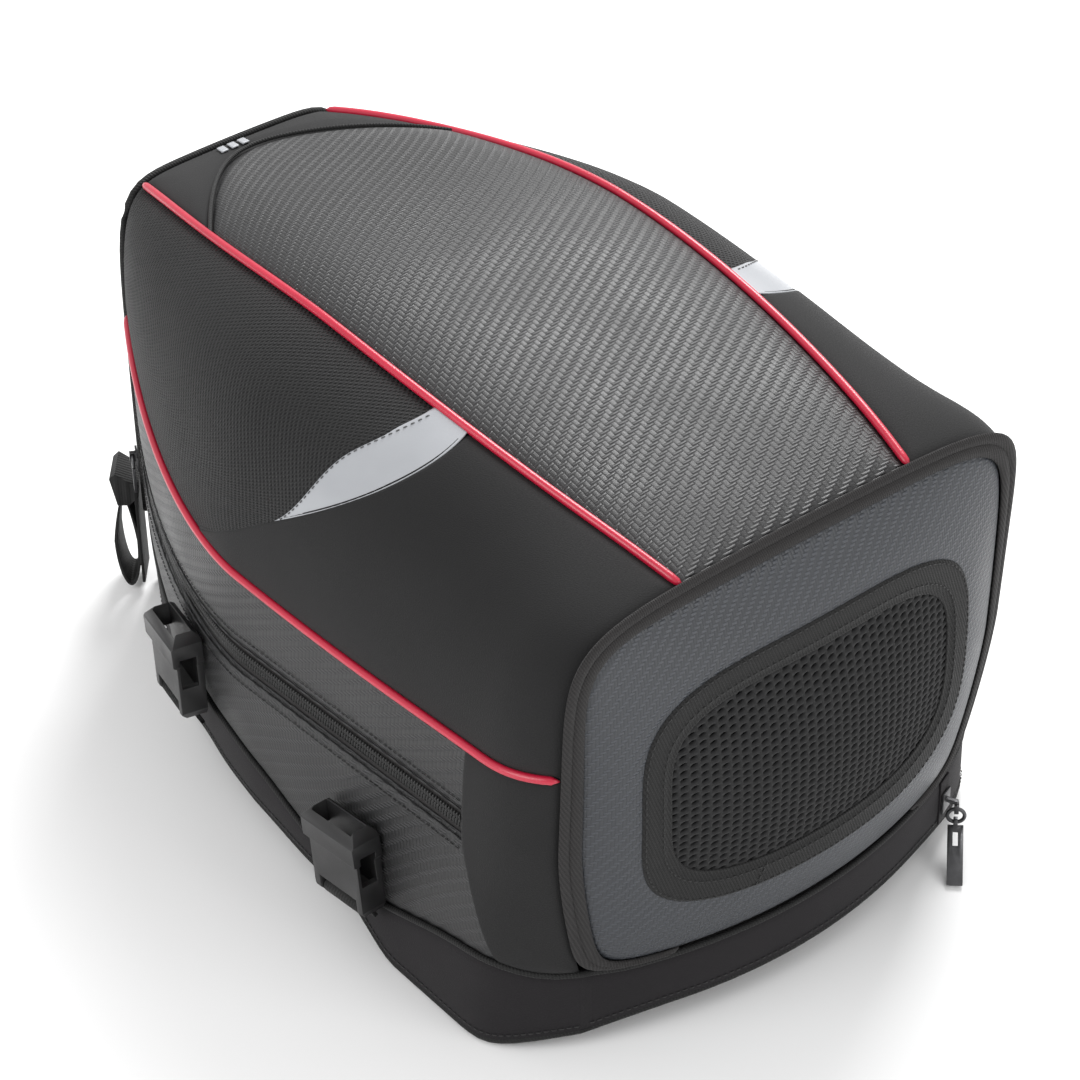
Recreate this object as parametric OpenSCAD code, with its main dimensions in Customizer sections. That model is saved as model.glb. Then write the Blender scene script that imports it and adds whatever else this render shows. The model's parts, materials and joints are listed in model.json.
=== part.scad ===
// Tank bag with a zipped mesh-window door, side pockets and strap buckles.
// Millimetres. +Z up, the door faces -Y, the narrow end faces +Y, the feet stand at z = 0.

/* [Overall shape] */
// Half width of the bag at its belly
belly_w = 137; // [130:1:142]
// Half width of the narrow rear end
rear_w = 67; // [62:1:72]
// Height of the roof at the widest section
roof_z = 262; // [257:1:266]
// Drop of the roof from there to each end
roof_drop = 33; // [30:1:36]
// Length from the widest section to the door's side edges
front_len = 201; // [195:1:205]
// Length from the widest section to the rear panel
rear_len = 185; // [180:1:190]
// Height of the flat underside above the foot lobes
foot_drop = 12; // [9:1:13]

/* [Door] */
// Half width of the door at its belly
door_w = 124; // [120:1:127]
// Half width of the door at its bottom seam
door_foot_w = 110; // [106:1:113]
// Half width of the mesh window, over its binding
window_w = 93; // [88:1:95]
// Half height of the mesh window, over its binding
window_h = 62; // [58:1:64]
// Width of the window binding
window_tape = 14; // [11:1:15]

/* [Sheet goods] */
// Thickness of the foam-backed outer fabric
cloth = 2.4; // [2:0.1:2.6]
// Radius of the red piping
piping_r = 2; // [1.7:0.1:2.1]
// Depth of the side pockets
pocket_depth = 11; // [10:1:12]

/* [Buckles] */
// Width of a buckle
buckle_w = 38; // [37:1:40]
// Height of a buckle
buckle_h = 45; // [44:1:48]
// Thickness of a buckle
buckle_t = 15; // [14:1:16]
// Width of the webbing that the buckles take
webbing_w = 25; // [25:1:26]
// Lean of each buckle towards the rear
buckle_lean = 8; // [0:1:10]

/* [Hidden] */
$fn = 48;

mid_y = 14.3;           // shifts the widest section so that the bag's box is centred on the origin
waist_z = 72;           // below this height the walls stand upright
corner_len = 36;        // length of the front corner's rounding at the belly
foot_corner_len = 46;   // and at the foot
body_len = 205;         // length that turns a distance into a share of the front half
door_z0 = 42;           // height of the door's bottom seam
door_h = 189;           // height of the door above it
window_z = 130;         // height of the window's centre
zip_rake = 0.07;        // fall of the pocket zip per millimetre towards the rear
zip_half = 7;           // half of the slot that the pocket zip fills
rim_power = 3.8;        // squareness of the window's outline
gap_k = 0.005;          // share of the length left free between neighbouring sheets
first_k = -0.992;       // station where the sheets and pipings start, just behind the door's seam
last_k = 0.985;         // and where they end, just before the rear binding
foam_t = 3;             // thickness of the foam behind the roof and the sides
seam_gap = 2.4;         // height that a sheet stays away from the middle of a red seam
band_gap = 1.8;         // and from the seam above the base band

// ---------- curves ----------
function sq(v) = v * v;
function mix(a, b, t) = a + (b - a) * t;
function ease(t) = t <= 0 ? 0 : t >= 1 ? 1 : t * t * (3 - 2 * t);
// Eased steps through a list of [place, value] knots
function through(knots, t, i = 0) =
  t <= knots[0][0] ? knots[0][1]
  : i >= len(knots) - 1 ? knots[i][1]
  : t > knots[i + 1][0] ? through(knots, t, i + 1)
  : mix(knots[i][1], knots[i + 1][1], ease((t - knots[i][0]) / (knots[i + 1][0] - knots[i][0])));

// Height of the seam above the base band, and of the band's lower edge, along the sides
SEAM_Z = [[-205, 43], [-180, 48], [-75, 27], [30, 44], [185, 46]];
HEM_Z = [[-205, 0.6], [-172, 0.02], [-116, 0.02], [-74, 1], [50, 1], [100, 0.02], [185, 0.02]];
// How far the wall's foot stands outside its belly
SKIRT = [[-205, 5], [-115, 5], [-60, 1], [20, -6], [185, -4]];

// ---------- the skin ----------
// k is the station: -1 at the door, 0 at the widest section, 1 at the rear panel
function rounding(k, len) = (1 + k) * body_len > len ? 0 : pow(1 - (1 + k) * body_len / len, 2.5);
function wall_w(k) = k < 0
  ? belly_w - (belly_w - door_w) * rounding(k, corner_len)
  : rear_w + (belly_w - rear_w) * (1 - pow(k, 1.6));
function roof(k) = roof_z - roof_drop * pow(abs(k), 1.8);
function squareness(k) = 4.1 + 3.9 * pow(abs(k), k < 0 ? 8 : 4);
function door_half(z) =
  door_w - (door_w - door_foot_w) * pow(max(0, 1 - max(0, z - door_z0) / 80), 1.5);
function door_y(x, z) =
  let (t = min(1, max(0, (z - door_z0) / door_h)), b = 1 - sq(min(1, abs(x) / door_half(z))))
  mid_y - front_len - 10 * t - b * (24 * (1 - t) - 5 * t + 17 * sin(180 * t));
function rear_y(x, z) =
  let (t = min(1, max(0, z / roof(1))), b = 1 - sq(min(1, abs(x) / rear_w)))
  mid_y + rear_len + b * (3 + 4 * sin(180 * t));
function station_y(k, x, z) =
  k < 0 ? mid_y - k * (door_y(x, z) - mid_y) : mid_y + k * (rear_y(x, z) - mid_y);
// Half width of the skin at station k and height z
function wall_x(k, z) =
  let (n = squareness(k), lift = max(0, z - waist_z) / (roof(k) - waist_z))
  (wall_w(k) + through(SKIRT, to_y(k)) * max(0, 1 - z / 90) * (1 - rounding(k, foot_corner_len))
    - (door_w - door_half(z)) * rounding(k, foot_corner_len))
  * pow(max(0, 1 - pow(lift, n)), 1 / n);
// Points of the left wall by height, and of the whole arch by angle about the waist line
function wall_pt(k, z) = let (x = wall_x(k, z)) [-x, station_y(k, x, z), z];
function arch_pt(k, a) =
  let (n = squareness(k), w = wall_w(k), h = roof(k) - waist_z,
    r = 1 / pow(pow(abs(cos(a)) / w, n) + pow(abs(sin(a)) / h, n), 1 / n))
  [r * cos(a), station_y(k, r * cos(a), waist_z + r * sin(a)), waist_z + r * sin(a)];

// Seams: heights or half widths by station
function low_seam_z(k) = 150 + 13 * sq(k);
function low_seam_a(k) = atan2(low_seam_z(k) - waist_z, wall_x(k, low_seam_z(k)));
function top_seam_x(k) = 80 - 6 * k - (k < 0 ? 24 : 22) * sq(k);
function top_seam_a(k) =
  let (n = squareness(k), x = top_seam_x(k), h = roof(k) - waist_z)
  atan2(h * pow(1 - pow(x / wall_w(k), n), 1 / n), x);
function zip_z(k) = let (y = k * 195) 102 - zip_rake * y + (y > 0 ? 0.0002 * y * y : 0);
function band_z(k) = through(SEAM_Z, to_y(k));
function hem_z(k) = foot_drop * through(HEM_Z, to_y(k));
function to_y(k) = k < 0 ? k * body_len : k * rear_len;
function to_k(y) = y < 0 ? y / body_len : y / rear_len;
// Share s of the way from the lower seam (0) to the top seam (1) on the left side
function side_pt(k, s) = arch_pt(k, 180 - mix(low_seam_a(k), top_seam_a(k), s));
// Edges of the softshell front and of the reflective strip, by share s
function softshell_k(s) = to_k(39 - 130 * (1 - pow(1 - s, 1.6)));
function mesh_k(s) = to_k(39 - 130 * (1 - pow(1 - s, 1.6)) + 19 * ease((s - 0.32) / 0.4));
function yoke_k(v) = to_k(166 - 63 * sq(v));
function gusset_k(z) = to_k(-158 - 24 * pow(max(0, (110 - z) / 63), 1.5));

// ---------- builders ----------
function cell(g, i, j, wrap) =
  let (n = len(g), m = len(g[0]))
  g[wrap ? (i + n) % n : min(n - 1, max(0, i))][min(m - 1, max(0, j))];
function inward(g, i, j, wrap) =
  let (c = cross(cell(g, i + 1, j, wrap) - cell(g, i - 1, j, wrap),
                 cell(g, i, j + 1, wrap) - cell(g, i, j - 1, wrap))) c / norm(c);
function flat(rows) = [for (row = rows) for (p = row) p];

// A sheet of even thickness below a grid of outer points; wrap closes it along its first index
module sheet(g, t, wrap = false) {
  n = len(g);
  m = len(g[0]);
  lower = [for (i = [0:n - 1]) [for (j = [0:m - 1]) g[i][j] + t * inward(g, i, j, wrap)]];
  last = wrap ? n - 1 : n - 2;
  function id(i, j, side) = side * n * m + (i % n) * m + j;
  function quad(a, b, c, d) = [[a, b, c], [a, c, d]];
  skins = [for (i = [0:last]) for (j = [0:m - 2]) each concat(
    quad(id(i, j, 0), id(i + 1, j, 0), id(i + 1, j + 1, 0), id(i, j + 1, 0)),
    quad(id(i, j, 1), id(i, j + 1, 1), id(i + 1, j + 1, 1), id(i + 1, j, 1)))];
  rims = [for (i = [0:last]) each concat(
    quad(id(i + 1, 0, 0), id(i, 0, 0), id(i, 0, 1), id(i + 1, 0, 1)),
    quad(id(i, m - 1, 0), id(i + 1, m - 1, 0), id(i + 1, m - 1, 1), id(i, m - 1, 1)))];
  ends = wrap ? [] : [for (j = [0:m - 2]) each concat(
    quad(id(0, j, 0), id(0, j + 1, 0), id(0, j + 1, 1), id(0, j, 1)),
    quad(id(n - 1, j + 1, 0), id(n - 1, j, 0), id(n - 1, j, 1), id(n - 1, j + 1, 1)))];
  polyhedron(concat(flat(g), flat(lower)), concat(skins, rims, ends));
}

// A round cord along a path
module tube(path, r, sides = 8, closed = false) {
  n = len(path);
  function step(i) = closed ? path[(i + 1) % n] - path[(i + n - 1) % n]
    : path[min(n - 1, i + 1)] - path[max(0, i - 1)];
  rings = [for (i = [0:n - 1])
    let (t = step(i) / norm(step(i)), s0 = cross(t, abs(t[2]) > 0.9 ? [0, 1, 0] : [0, 0, 1]),
      s = s0 / norm(s0), u = cross(s, t))
    for (q = [0:sides - 1]) path[i] + r * (cos(360 * q / sides) * s + sin(360 * q / sides) * u)];
  last = closed ? n - 1 : n - 2;
  walls = [for (i = [0:last]) for (q = [0:sides - 1])
    let (a = i * sides, b = (i + 1) % n * sides, e = (q + 1) % sides)
    each [[a + q, a + e, b + e], [a + q, b + e, b + q]]];
  caps = closed ? [] : [[for (q = [sides - 1:-1:0]) q], [for (q = [0:sides - 1]) (n - 1) * sides + q]];
  polyhedron(rings, concat(walls, caps));
}

module both(right) {
  if (right) mirror([1, 0, 0]) children();
  else children();
}

// ---------- loops round the base ----------
// Clockwise from above: left side from the door to the rear, rear, right side, front
FRONT_STEPS = 12;
SIDE_STEPS = 22;
REAR_STEPS = 6;
function side_k(i) = -1 + 2 * i / SIDE_STEPS - 0.06 * sin(180 * i / SIDE_STEPS);
function front_hem(v) = foot_drop * (1 - 0.4 * sq(max(0, abs(v) - 0.6) / 0.4));
// f is the share of the way from the hem (0) to the seam (1); drop lowers the loop
function base_loop(f, drop = 0) = let (
  left = [for (i = [0:SIDE_STEPS]) let (k = side_k(i))
    wall_pt(k, mix(hem_z(k), band_z(k), f) - drop)],
  w = left[SIDE_STEPS][0],
  back = [for (i = [1:REAR_STEPS - 1])
    let (v = 1 - 2 * i / REAR_STEPS, z = mix(0, band_z(1), f) - drop)
    [w * v, rear_y(w * v, z), z]],
  d = left[0][0],
  front = [for (i = [1:FRONT_STEPS - 1]) let (v = 1 - 2 * i / FRONT_STEPS,
      z = mix(front_hem(v), mix(band_z(-1), door_z0 - 1, ease((1 - abs(v)) / 0.2)), f) - drop)
    [-d * v, door_y(d * v * 0.999, door_z0), z]])
  concat(left, back, [for (i = [SIDE_STEPS:-1:0]) [-left[i][0], left[i][1], left[i][2]]], front);
function plan_inward(loop, i) =
  let (n = len(loop), a = loop[(i + 1) % n] - loop[(i + n - 1) % n], t = [a[0], a[1]])
  [t[1], -t[0]] / norm(t);
function inset_plan(loop, by) =
  [for (i = [0:len(loop) - 1]) [loop[i][0], loop[i][1]] + by * plan_inward(loop, i)];

// ---------- base ----------
module base_band() {
  color([0.07, 0.065, 0.075])
    sheet([for (i = [0:len(base_loop(0)) - 1])
      [for (f = [0:3]) base_loop(f / 3, f == 3 ? 2 : 0)[i]]], cloth, wrap = true);
}
module base_piping() {
  color([0.04, 0.04, 0.04])
    tube(base_loop(1, 0.4), 1.3, sides = 6, closed = true);
}
module base_binding() {
  outline = inset_plan(base_loop(0.1), cloth + 1.4);
  color([0.05, 0.05, 0.055]) translate([0, 0, foot_drop]) linear_extrude(2.6)
    difference() {
      polygon(outline);
      polygon(inset_plan(base_loop(0.1), cloth + 4.4));
    }
}
module base_panel() {
  color([0.09, 0.09, 0.09]) translate([0, 0, foot_drop])
    linear_extrude(1.2) polygon(inset_plan(base_loop(0.1), cloth + 4.8));
}
module base_board() {
  color([0.2, 0.2, 0.2]) translate([0, 0, foot_drop + 1.5])
    linear_extrude(2) polygon(inset_plan(base_loop(0.1), cloth + 6));
}
module floor_pad() {
  color([0.16, 0.16, 0.17]) translate([0, 0, foot_drop + 3.8])
    linear_extrude(8) polygon(inset_plan(base_loop(0.2), cloth + pocket_depth + 10));
}

// ---------- roof ----------
function roof_pt(k, v, a_gap) =
  let (a = top_seam_a(k) + a_gap) arch_pt(k, mix(180 - a, a, (v + 1) / 2));
SEAM_A = 0.72;   // degrees that a sheet stays away from the middle of a top seam
module top_panel() {
  color([0.17, 0.17, 0.18]) sheet([for (i = [0:16]) [for (j = [-7:7])
    roof_pt(mix(first_k, yoke_k(j / 7) - 0.012, i / 16), j / 7, SEAM_A)]], cloth);
}
module top_foam() {
  color([0.5, 0.5, 0.5]) translate([0, 0, -cloth - 0.8]) sheet([for (i = [0:10]) [for (j = [-5:5])
    roof_pt(mix(-0.93, 0.5, i / 10), j / 5, 3)]], foam_t);
}
module rear_yoke() {
  color([0.07, 0.07, 0.07]) sheet([for (i = [0:4]) [for (j = [-7:7])
    roof_pt(mix(yoke_k(j / 7) + 0.008, last_k, i / 4), j / 7, SEAM_A)]], cloth);
}
module yoke_cord() {
  color([0.03, 0.03, 0.03]) translate([0, 0, 1.4])
    tube([for (j = [-12:12]) roof_pt(yoke_k(j / 12), j / 12, 1.2)], 1, sides = 6);
}
module yoke_patch() {
  color([0.75, 0.75, 0.77]) translate([0, 0, 0.9])
    for (b = [-1:1]) sheet([for (i = [0:1]) [for (j = [0:1])
      roof_pt(mix(0.925, 0.965, i), -0.14 + b * 0.11 + 0.07 * j, 0)]], 0.5);
}

// ---------- rear ----------
function rear_pt(u, v, z0, lift) =
  let (n = squareness(1), x = u * 0.955 * rear_w, h = roof(1) - waist_z,
    z1 = waist_z + h * pow(1 - pow(abs(u) * 0.965, n), 1 / n) - 3, z = mix(z0, z1, v))
  [x, rear_y(x, z) + lift, z];
module rear_panel() {
  color([0.1, 0.1, 0.105]) sheet([for (i = [0:10]) [for (j = [0:7])
    rear_pt(mix(-1, 1, i / 10), j / 7, band_z(1) + 2, -0.2)]], cloth);
}
module rear_binding() {
  color([0.05, 0.05, 0.05])
    tube([for (i = [0:28]) let (p = arch_pt(1, mix(-18, 198, i / 28))) [p[0], p[1] + 1.6, p[2]]],
      1.3, sides = 6);
}

// ---------- sides ----------
SIDE_S = 0.038;   // share of the side that a sheet stays away from a red seam
module side_mesh() {
  color([0.09, 0.09, 0.095]) sheet([for (i = [0:9]) [for (j = [0:9])
    let (s = mix(SIDE_S, 1 - SIDE_S, j / 9))
    side_pt(mix(mesh_k(s) + gap_k, last_k - gap_k, i / 9), s)]], cloth);
}
module side_softshell() {
  color([0.06, 0.06, 0.065]) sheet([for (i = [0:9]) [for (j = [0:9])
    let (s = mix(SIDE_S, 1 - SIDE_S, j / 9))
    side_pt(mix(first_k, softshell_k(s) - 0.002, i / 9), s)]], cloth);
}
module reflective() {
  color([0.62, 0.63, 0.65]) sheet([for (i = [0:1]) [for (j = [0:9])
    let (s = mix(0.4, 1 - SIDE_S, j / 9))
    side_pt(mix(softshell_k(s) + 0.001, mesh_k(s) - 0.001, i), s)]], cloth * 0.6);
}
module pocket_strip() {
  color([0.2, 0.2, 0.2]) sheet([for (i = [0:16]) [for (j = [0:3])
    let (k = mix(gusset_k(130) + gap_k, last_k, i / 16),
      z0 = zip_z(k) + zip_half, z1 = low_seam_z(k) - seam_gap)
    wall_pt(k, mix(z0, z1, j / 3))]], cloth);
}
module pocket_panel() {
  color([0.2, 0.2, 0.2]) sheet([for (i = [0:18]) [for (j = [0:4])
    let (s = j / 4, k = mix(gusset_k(mix(50, 106, s)) + gap_k, last_k, i / 18))
    wall_pt(k, mix(band_z(k) + band_gap, zip_z(k) - zip_half, s))]], cloth);
}
module corner_gusset() {
  color([0.06, 0.06, 0.065]) sheet([for (i = [0:6]) [for (j = [0:7])
    let (z = mix(50, low_seam_z(-0.9) - 1, j / 7), k = mix(-0.99, gusset_k(z), i / 6),
      low = band_z(k) + band_gap, zz = max(z - (1 - j / 7) * (50 - low), low))
    wall_pt(k, min(zz, low_seam_z(k) - seam_gap))]], cloth);
}
// The zip's tape, sunk below the skin, with the coil along its middle
function sunk(k, z, by) = let (a = wall_pt(k, z)) [a[0] + by, a[1], a[2]];
ZIP_K0 = -0.765;
ZIP_K1 = 0.9;
module pocket_zip() {
  color([0.05, 0.05, 0.05]) {
    sheet([for (i = [0:16]) [for (f = [-1, 1]) let (k = mix(ZIP_K0, ZIP_K1, i / 16))
      sunk(k, zip_z(k) + f * (zip_half - 0.4), 1.2)]], 0.8);
    tube([for (i = [0:20]) let (k = mix(ZIP_K0 + 0.01, ZIP_K1 - 0.01, i / 20))
      sunk(k, zip_z(k), -0.2)], 1.35, sides = 6);
  }
}
module pocket_bag() {
  color([0.12, 0.12, 0.13]) sheet([for (i = [0:8]) [for (j = [0:3])
    let (k = mix(-0.7, 0.6, i / 8), p = wall_pt(k, mix(52, 124, j / 3)))
    [p[0] + cloth + pocket_depth, p[1], p[2]]]], 0.8);
}
module side_foam() {
  color([0.5, 0.5, 0.5]) sheet([for (i = [0:8]) [for (j = [0:4])
    let (k = mix(-0.8, 0.62, i / 8), p = wall_pt(k, mix(34, 136, j / 4)))
    [p[0] + cloth + pocket_depth + 1.8, p[1], p[2]]]], foam_t);
}
module piping_top() {
  color([0.78, 0.08, 0.2]) tube([for (i = [0:34])
    let (k = mix(-last_k, last_k, i / 34)) arch_pt(k, 180 - top_seam_a(k))], piping_r);
}
module piping_lower() {
  color([0.78, 0.08, 0.2]) tube([for (i = [0:34])
    let (k = mix(-last_k, last_k, i / 34)) wall_pt(k, low_seam_z(k))], piping_r);
}

// ---------- door ----------
// Outline of the door about the window's centre, by angle; then inset and blended to the window
function door_rim(a, by) =
  let (up = sin(a) > 0, n = up ? 8 : 14,
    h = up ? door_z0 + door_h - window_z - by : window_z - door_z0 - min(by, 0.8),
    r = 1 / pow(pow(abs(cos(a)) / door_w, n) + pow(abs(sin(a)) / h, n), 1 / n), z = window_z + r * sin(a))
  [r * cos(a) * (door_half(z) - by) / door_w, z];
function window_rim(a, by) =
  let (n = rim_power, w = window_w - by, h = window_h - by,
    r = 1 / pow(pow(abs(cos(a)) / w, n) + pow(abs(sin(a)) / h, n), 1 / n))
  [r * cos(a), window_z + r * sin(a)];
function on_door(p, lift = 0) = [p[0], door_y(p[0], p[1]) - lift, p[1]];
RIM_STEPS = 48;
// Angles crowd towards the outline's corners
function rim_a(i) = let (a = 360 * i / RIM_STEPS) a - 14 * sin(2 * a) * (1 + 0.2 * cos(2 * a)) / 2;
// Angles of the open zip, from the bottom left corner over the top to the bottom right
function zip_a(i, n) = 213 - 246 * i / n;
module door_panel() {
  color([0.2, 0.21, 0.22]) sheet([for (i = [0:RIM_STEPS - 1]) [for (f = [0, 0.3, 0.65, 1])
    on_door(mix(door_rim(rim_a(-i), 7.2), window_rim(rim_a(-i), 0), f))]], cloth, wrap = true);
}
module window_binding() {
  color([0.06, 0.06, 0.06]) sheet([for (i = [0:RIM_STEPS - 1]) [for (f = [0, 1])
    on_door(window_rim(rim_a(-i), mix(0.4, window_tape, f)), 0.4)]], cloth, wrap = true);
}
module window_mesh() {
  w = window_w - window_tape - 1;
  h = window_h - window_tape - 1;
  color([0.08, 0.08, 0.08]) sheet([for (j = [0:6]) [for (i = [0:12])
    let (x = mix(-0.97, 0.97, i / 12) * w, top = h * pow(1 - pow(abs(x) / w, rim_power), 1 / rim_power))
    on_door([x, window_z + mix(-1, 1, j / 6) * top], -0.6)]], 1.2);
}
module door_zip_tape() {
  color([0.05, 0.05, 0.05]) sheet([for (i = [0:44]) [for (f = [3.4, 6])
    on_door(door_rim(zip_a(i, 44), f))]], 1.4);
}
module door_zip_frame() {
  color([0.05, 0.05, 0.05]) sheet([for (i = [0:44]) [for (f = [0.2, 3])
    on_door(door_rim(zip_a(i, 44), f))]], 1.4);
}

// ---------- sliders and pulls ----------
RING_R = 3.2;      // middle radius of a pull's ring
WIRE_R = 0.75;     // radius of its wire
BRIDGE_X = 2.6;    // how far the ring's axle stands off the slider's back
BRIDGE_Z = 2.4;    // and how far above the slider's centre
// Zip slider with its outer face towards -X
module slider() {
  color([0.16, 0.16, 0.17]) difference() {
    union() {
      translate([-1, -5.5, -4]) cube([1, 11, 8]);
      translate([-4, -1, -1]) cube([3.2, 2, 5.2]);
    }
    translate([-BRIDGE_X, 0, BRIDGE_Z]) rotate([90, 0, 0]) cylinder(r = 1, h = 6, center = true);
  }
}
// Pull with its ring's axle at the origin: a ring that carries a slotted tab
module pull(length, wide) {
  color([0.16, 0.16, 0.17]) {
    translate([0, 0, -RING_R]) rotate([0, 90, 0])
      rotate_extrude() translate([RING_R, 0]) circle(r = WIRE_R, $fn = 20);
    translate([-0.7, -wide / 2, -2 * RING_R - length]) difference() {
      cube([1.4, wide, length]);
      translate([-1, wide / 2 - 0.8, length - 6]) cube([4, 1.6, 3.6]);
    }
  }
}

// Left pocket slider, parked at the zip's rear end
PARK_K = 0.88;
PARK_ANGLE = 28;
module at_pocket_slider() {
  translate(wall_pt(PARK_K, zip_z(PARK_K)) + [-2.6, 0, 0]) rotate([0, 0, -PARK_ANGLE]) children();
}
module pocket_slider() at_pocket_slider() slider();
module pocket_pull() at_pocket_slider() translate([-BRIDGE_X, 0, BRIDGE_Z]) pull(14, 6);

// The door's zip ends in a tail over the base band's right corner, where its slider parks
TAIL_X = 99;
TAIL_FOOT = 13;
TAIL_LEN = 25;
TAIL_TURN = 112;    // turn of the corner's outward normal, as the turn of -X
DOOR_PARK_Z = 25;
module at_tail(z, off) {
  turn = [cos(TAIL_TURN), sin(TAIL_TURN), 0];
  translate([TAIL_X, door_y(TAIL_X, door_z0), z] - off * turn) rotate([0, 0, TAIL_TURN]) children();
}
module door_zip_tail() {
  color([0.05, 0.05, 0.05]) at_tail(TAIL_FOOT, 0.5) translate([-1, -4.5, 0]) cube([1, 9, TAIL_LEN]);
}
// Slider with an arm whose eye carries a free ring, turned to face the corner's side
EYE = [-6, 0, -3];
EYE_TURN = -66;
DOOR_RING_R = 3.9;  // middle radius of that ring
DOOR_WIRE_R = 0.9;
TAB_LEN = 31;
TAB_TILT = 65;      // turn of the tab from hanging to lying on the floor
module at_door_slider() at_tail(DOOR_PARK_Z, 1.9) children();
module at_door_ring() at_door_slider() translate(EYE) rotate([0, 0, EYE_TURN]) children();
module door_slider() color([0.16, 0.16, 0.17]) {
  at_door_slider() translate([-1, -4, -5.5]) cube([1, 8, 11]);
  at_door_slider() translate([-6.5, -1, 0]) cube([6, 2, 2]);
  at_door_ring() difference() {
    translate([-1.7, -1, -1.8]) cube([3.4, 2, 5]);
    rotate([90, 0, 0]) cylinder(r = DOOR_WIRE_R + 0.25, h = 6, center = true);
  }
}
module door_pull() at_door_ring() color([0.16, 0.16, 0.17])
  translate([0, 0, -DOOR_RING_R]) rotate([0, 90, 0])
  rotate_extrude() translate([DOOR_RING_R, 0]) circle(r = DOOR_WIRE_R, $fn = 20);
module door_pull_tab() at_door_ring() translate([0, 0, -2 * DOOR_RING_R])
  rotate([0, TAB_TILT, 0]) color([0.16, 0.16, 0.17]) difference() {
    union() {
      rotate([90, 0, 0]) cylinder(r = 2.4, h = 1.8, center = true);
      translate([-0.7, -3.6, -TAB_LEN]) cube([1.4, 7.2, TAB_LEN - 1.7]);
    }
    rotate([90, 0, 0]) cylinder(r = DOOR_WIRE_R + 0.25, h = 12, center = true);
    translate([-2, -1.2, -12]) cube([4, 2.4, 7]);
  }

// ---------- buckles ----------
BAR_X = 9;        // distance of the buckle's bar from its back
BAR_Z = 3;        // and above its lower end
BAR_R = 2;
// Side-release socket: back at x = 0, outer face towards -X, mouth upwards
module buckle() {
  slot = webbing_w + 2;
  cap = buckle_h * 0.62;
  color([0.08, 0.08, 0.085]) {
    difference() {
      intersection() {
        translate([-buckle_t, 0, 0]) rotate([90, 0, 90]) linear_extrude(buckle_t) polygon([
          [-buckle_w / 2 + 4, 0], [buckle_w / 2 - 4, 0], [buckle_w / 2 - 1.5, 4],
          [buckle_w / 2 - 1.5, cap], [buckle_w / 2, cap + 2], [buckle_w / 2, buckle_h - 5],
          [buckle_w / 2 - 5, buckle_h], [-buckle_w / 2 + 5, buckle_h], [-buckle_w / 2, buckle_h - 5],
          [-buckle_w / 2, cap + 2], [-buckle_w / 2 + 1.5, cap], [-buckle_w / 2 + 1.5, 4]]);
        translate([0, buckle_w / 2, 0]) rotate([90, 0, 0]) linear_extrude(buckle_w) polygon([
          [-1, 0], [0, cap + 2], [0, buckle_h - 3], [-3, buckle_h], [-buckle_t + 5, buckle_h],
          [-buckle_t, buckle_h - 6], [-buckle_t, cap + 2], [-buckle_t + 2, cap], [-buckle_t + 1.5, 3],
          [-buckle_t + 4, 0]]);
      }
      // mouth and socket
      translate([-11.5, -14.5, 14]) cube([8, 29, buckle_h]);
      // windows for the release arms
      translate([-11.5, -buckle_w, 17]) cube([8, 2 * buckle_w, 16]);
      // room for the webbing round the bar
      translate([-buckle_t - 1, -slot / 2, -1]) cube([buckle_t + 2, slot, 10.5]);
    }
    translate([-BAR_X, 0, BAR_Z]) rotate([90, 0, 0]) cylinder(r = BAR_R, h = slot + 2, center = true);
  }
}
// Webbing tab: round the bar, then down to the seam
module strap_tab(drop) {
  color([0.05, 0.05, 0.05]) difference() {
    union() {
      translate([-BAR_X, 0, BAR_Z]) rotate([90, 0, 0])
        cylinder(r = BAR_R + 1.7, h = webbing_w, center = true);
      translate([-BAR_X + 1.6, -webbing_w / 2, BAR_Z - 2]) rotate([0, -25, 0])
        translate([0, 0, -drop]) cube([2, webbing_w, drop]);
    }
    translate([-BAR_X, 0, BAR_Z]) rotate([90, 0, 0])
      cylinder(r = BAR_R + 0.25, h = webbing_w + 2, center = true);
  }
}
// Left buckle places: y of the buckle, its foot's height, the wall's turn, the tab's drop, the gap
FRONT_BUCKLE = [-92, 31, 0, 7, 2.4];
REAR_BUCKLE = [49, 46, 14, 9, 5.2];
module at_buckle(place) {
  k = to_k(place[0]);
  translate([-wall_x(k, place[1]) - place[4], mid_y + place[0], place[1]])
    rotate([0, 0, -place[2]]) rotate([-buckle_lean, 0, 0]) children();
}

// ---------- rear straps ----------
// Profile in millimetres out from the rear corner and up: a folded flap, a loop and a tail
STRAP_WIDE = 20;
STRAP_LOOP = [8, 30];    // middle of the loop
function teardrop(by) = [for (a = [0:12:348])
  STRAP_LOOP + [(6.5 - by) * (1 - 0.45 * max(0, sin(a))) * cos(a), (28 - by) * sin(a)]];
module strap_layer() linear_extrude(STRAP_WIDE, center = true) children();
module rear_strap() {
  color([0.05, 0.05, 0.05]) translate([0.5 - rear_w, mid_y + rear_len + 4.4, 0])
    rotate([0, 0, -40]) rotate([90, 0, 180]) union() {
      strap_layer() polygon([[0.4, 57], [0.4, 63], [11, 71], [14, 68], [11, 52], [5, 52]]);
      strap_layer() difference() {
        polygon(teardrop(0));
        polygon(teardrop(1.7));
      }
      strap_layer() translate([1, 4]) square([1.4, 55]);
    }
}

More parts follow.
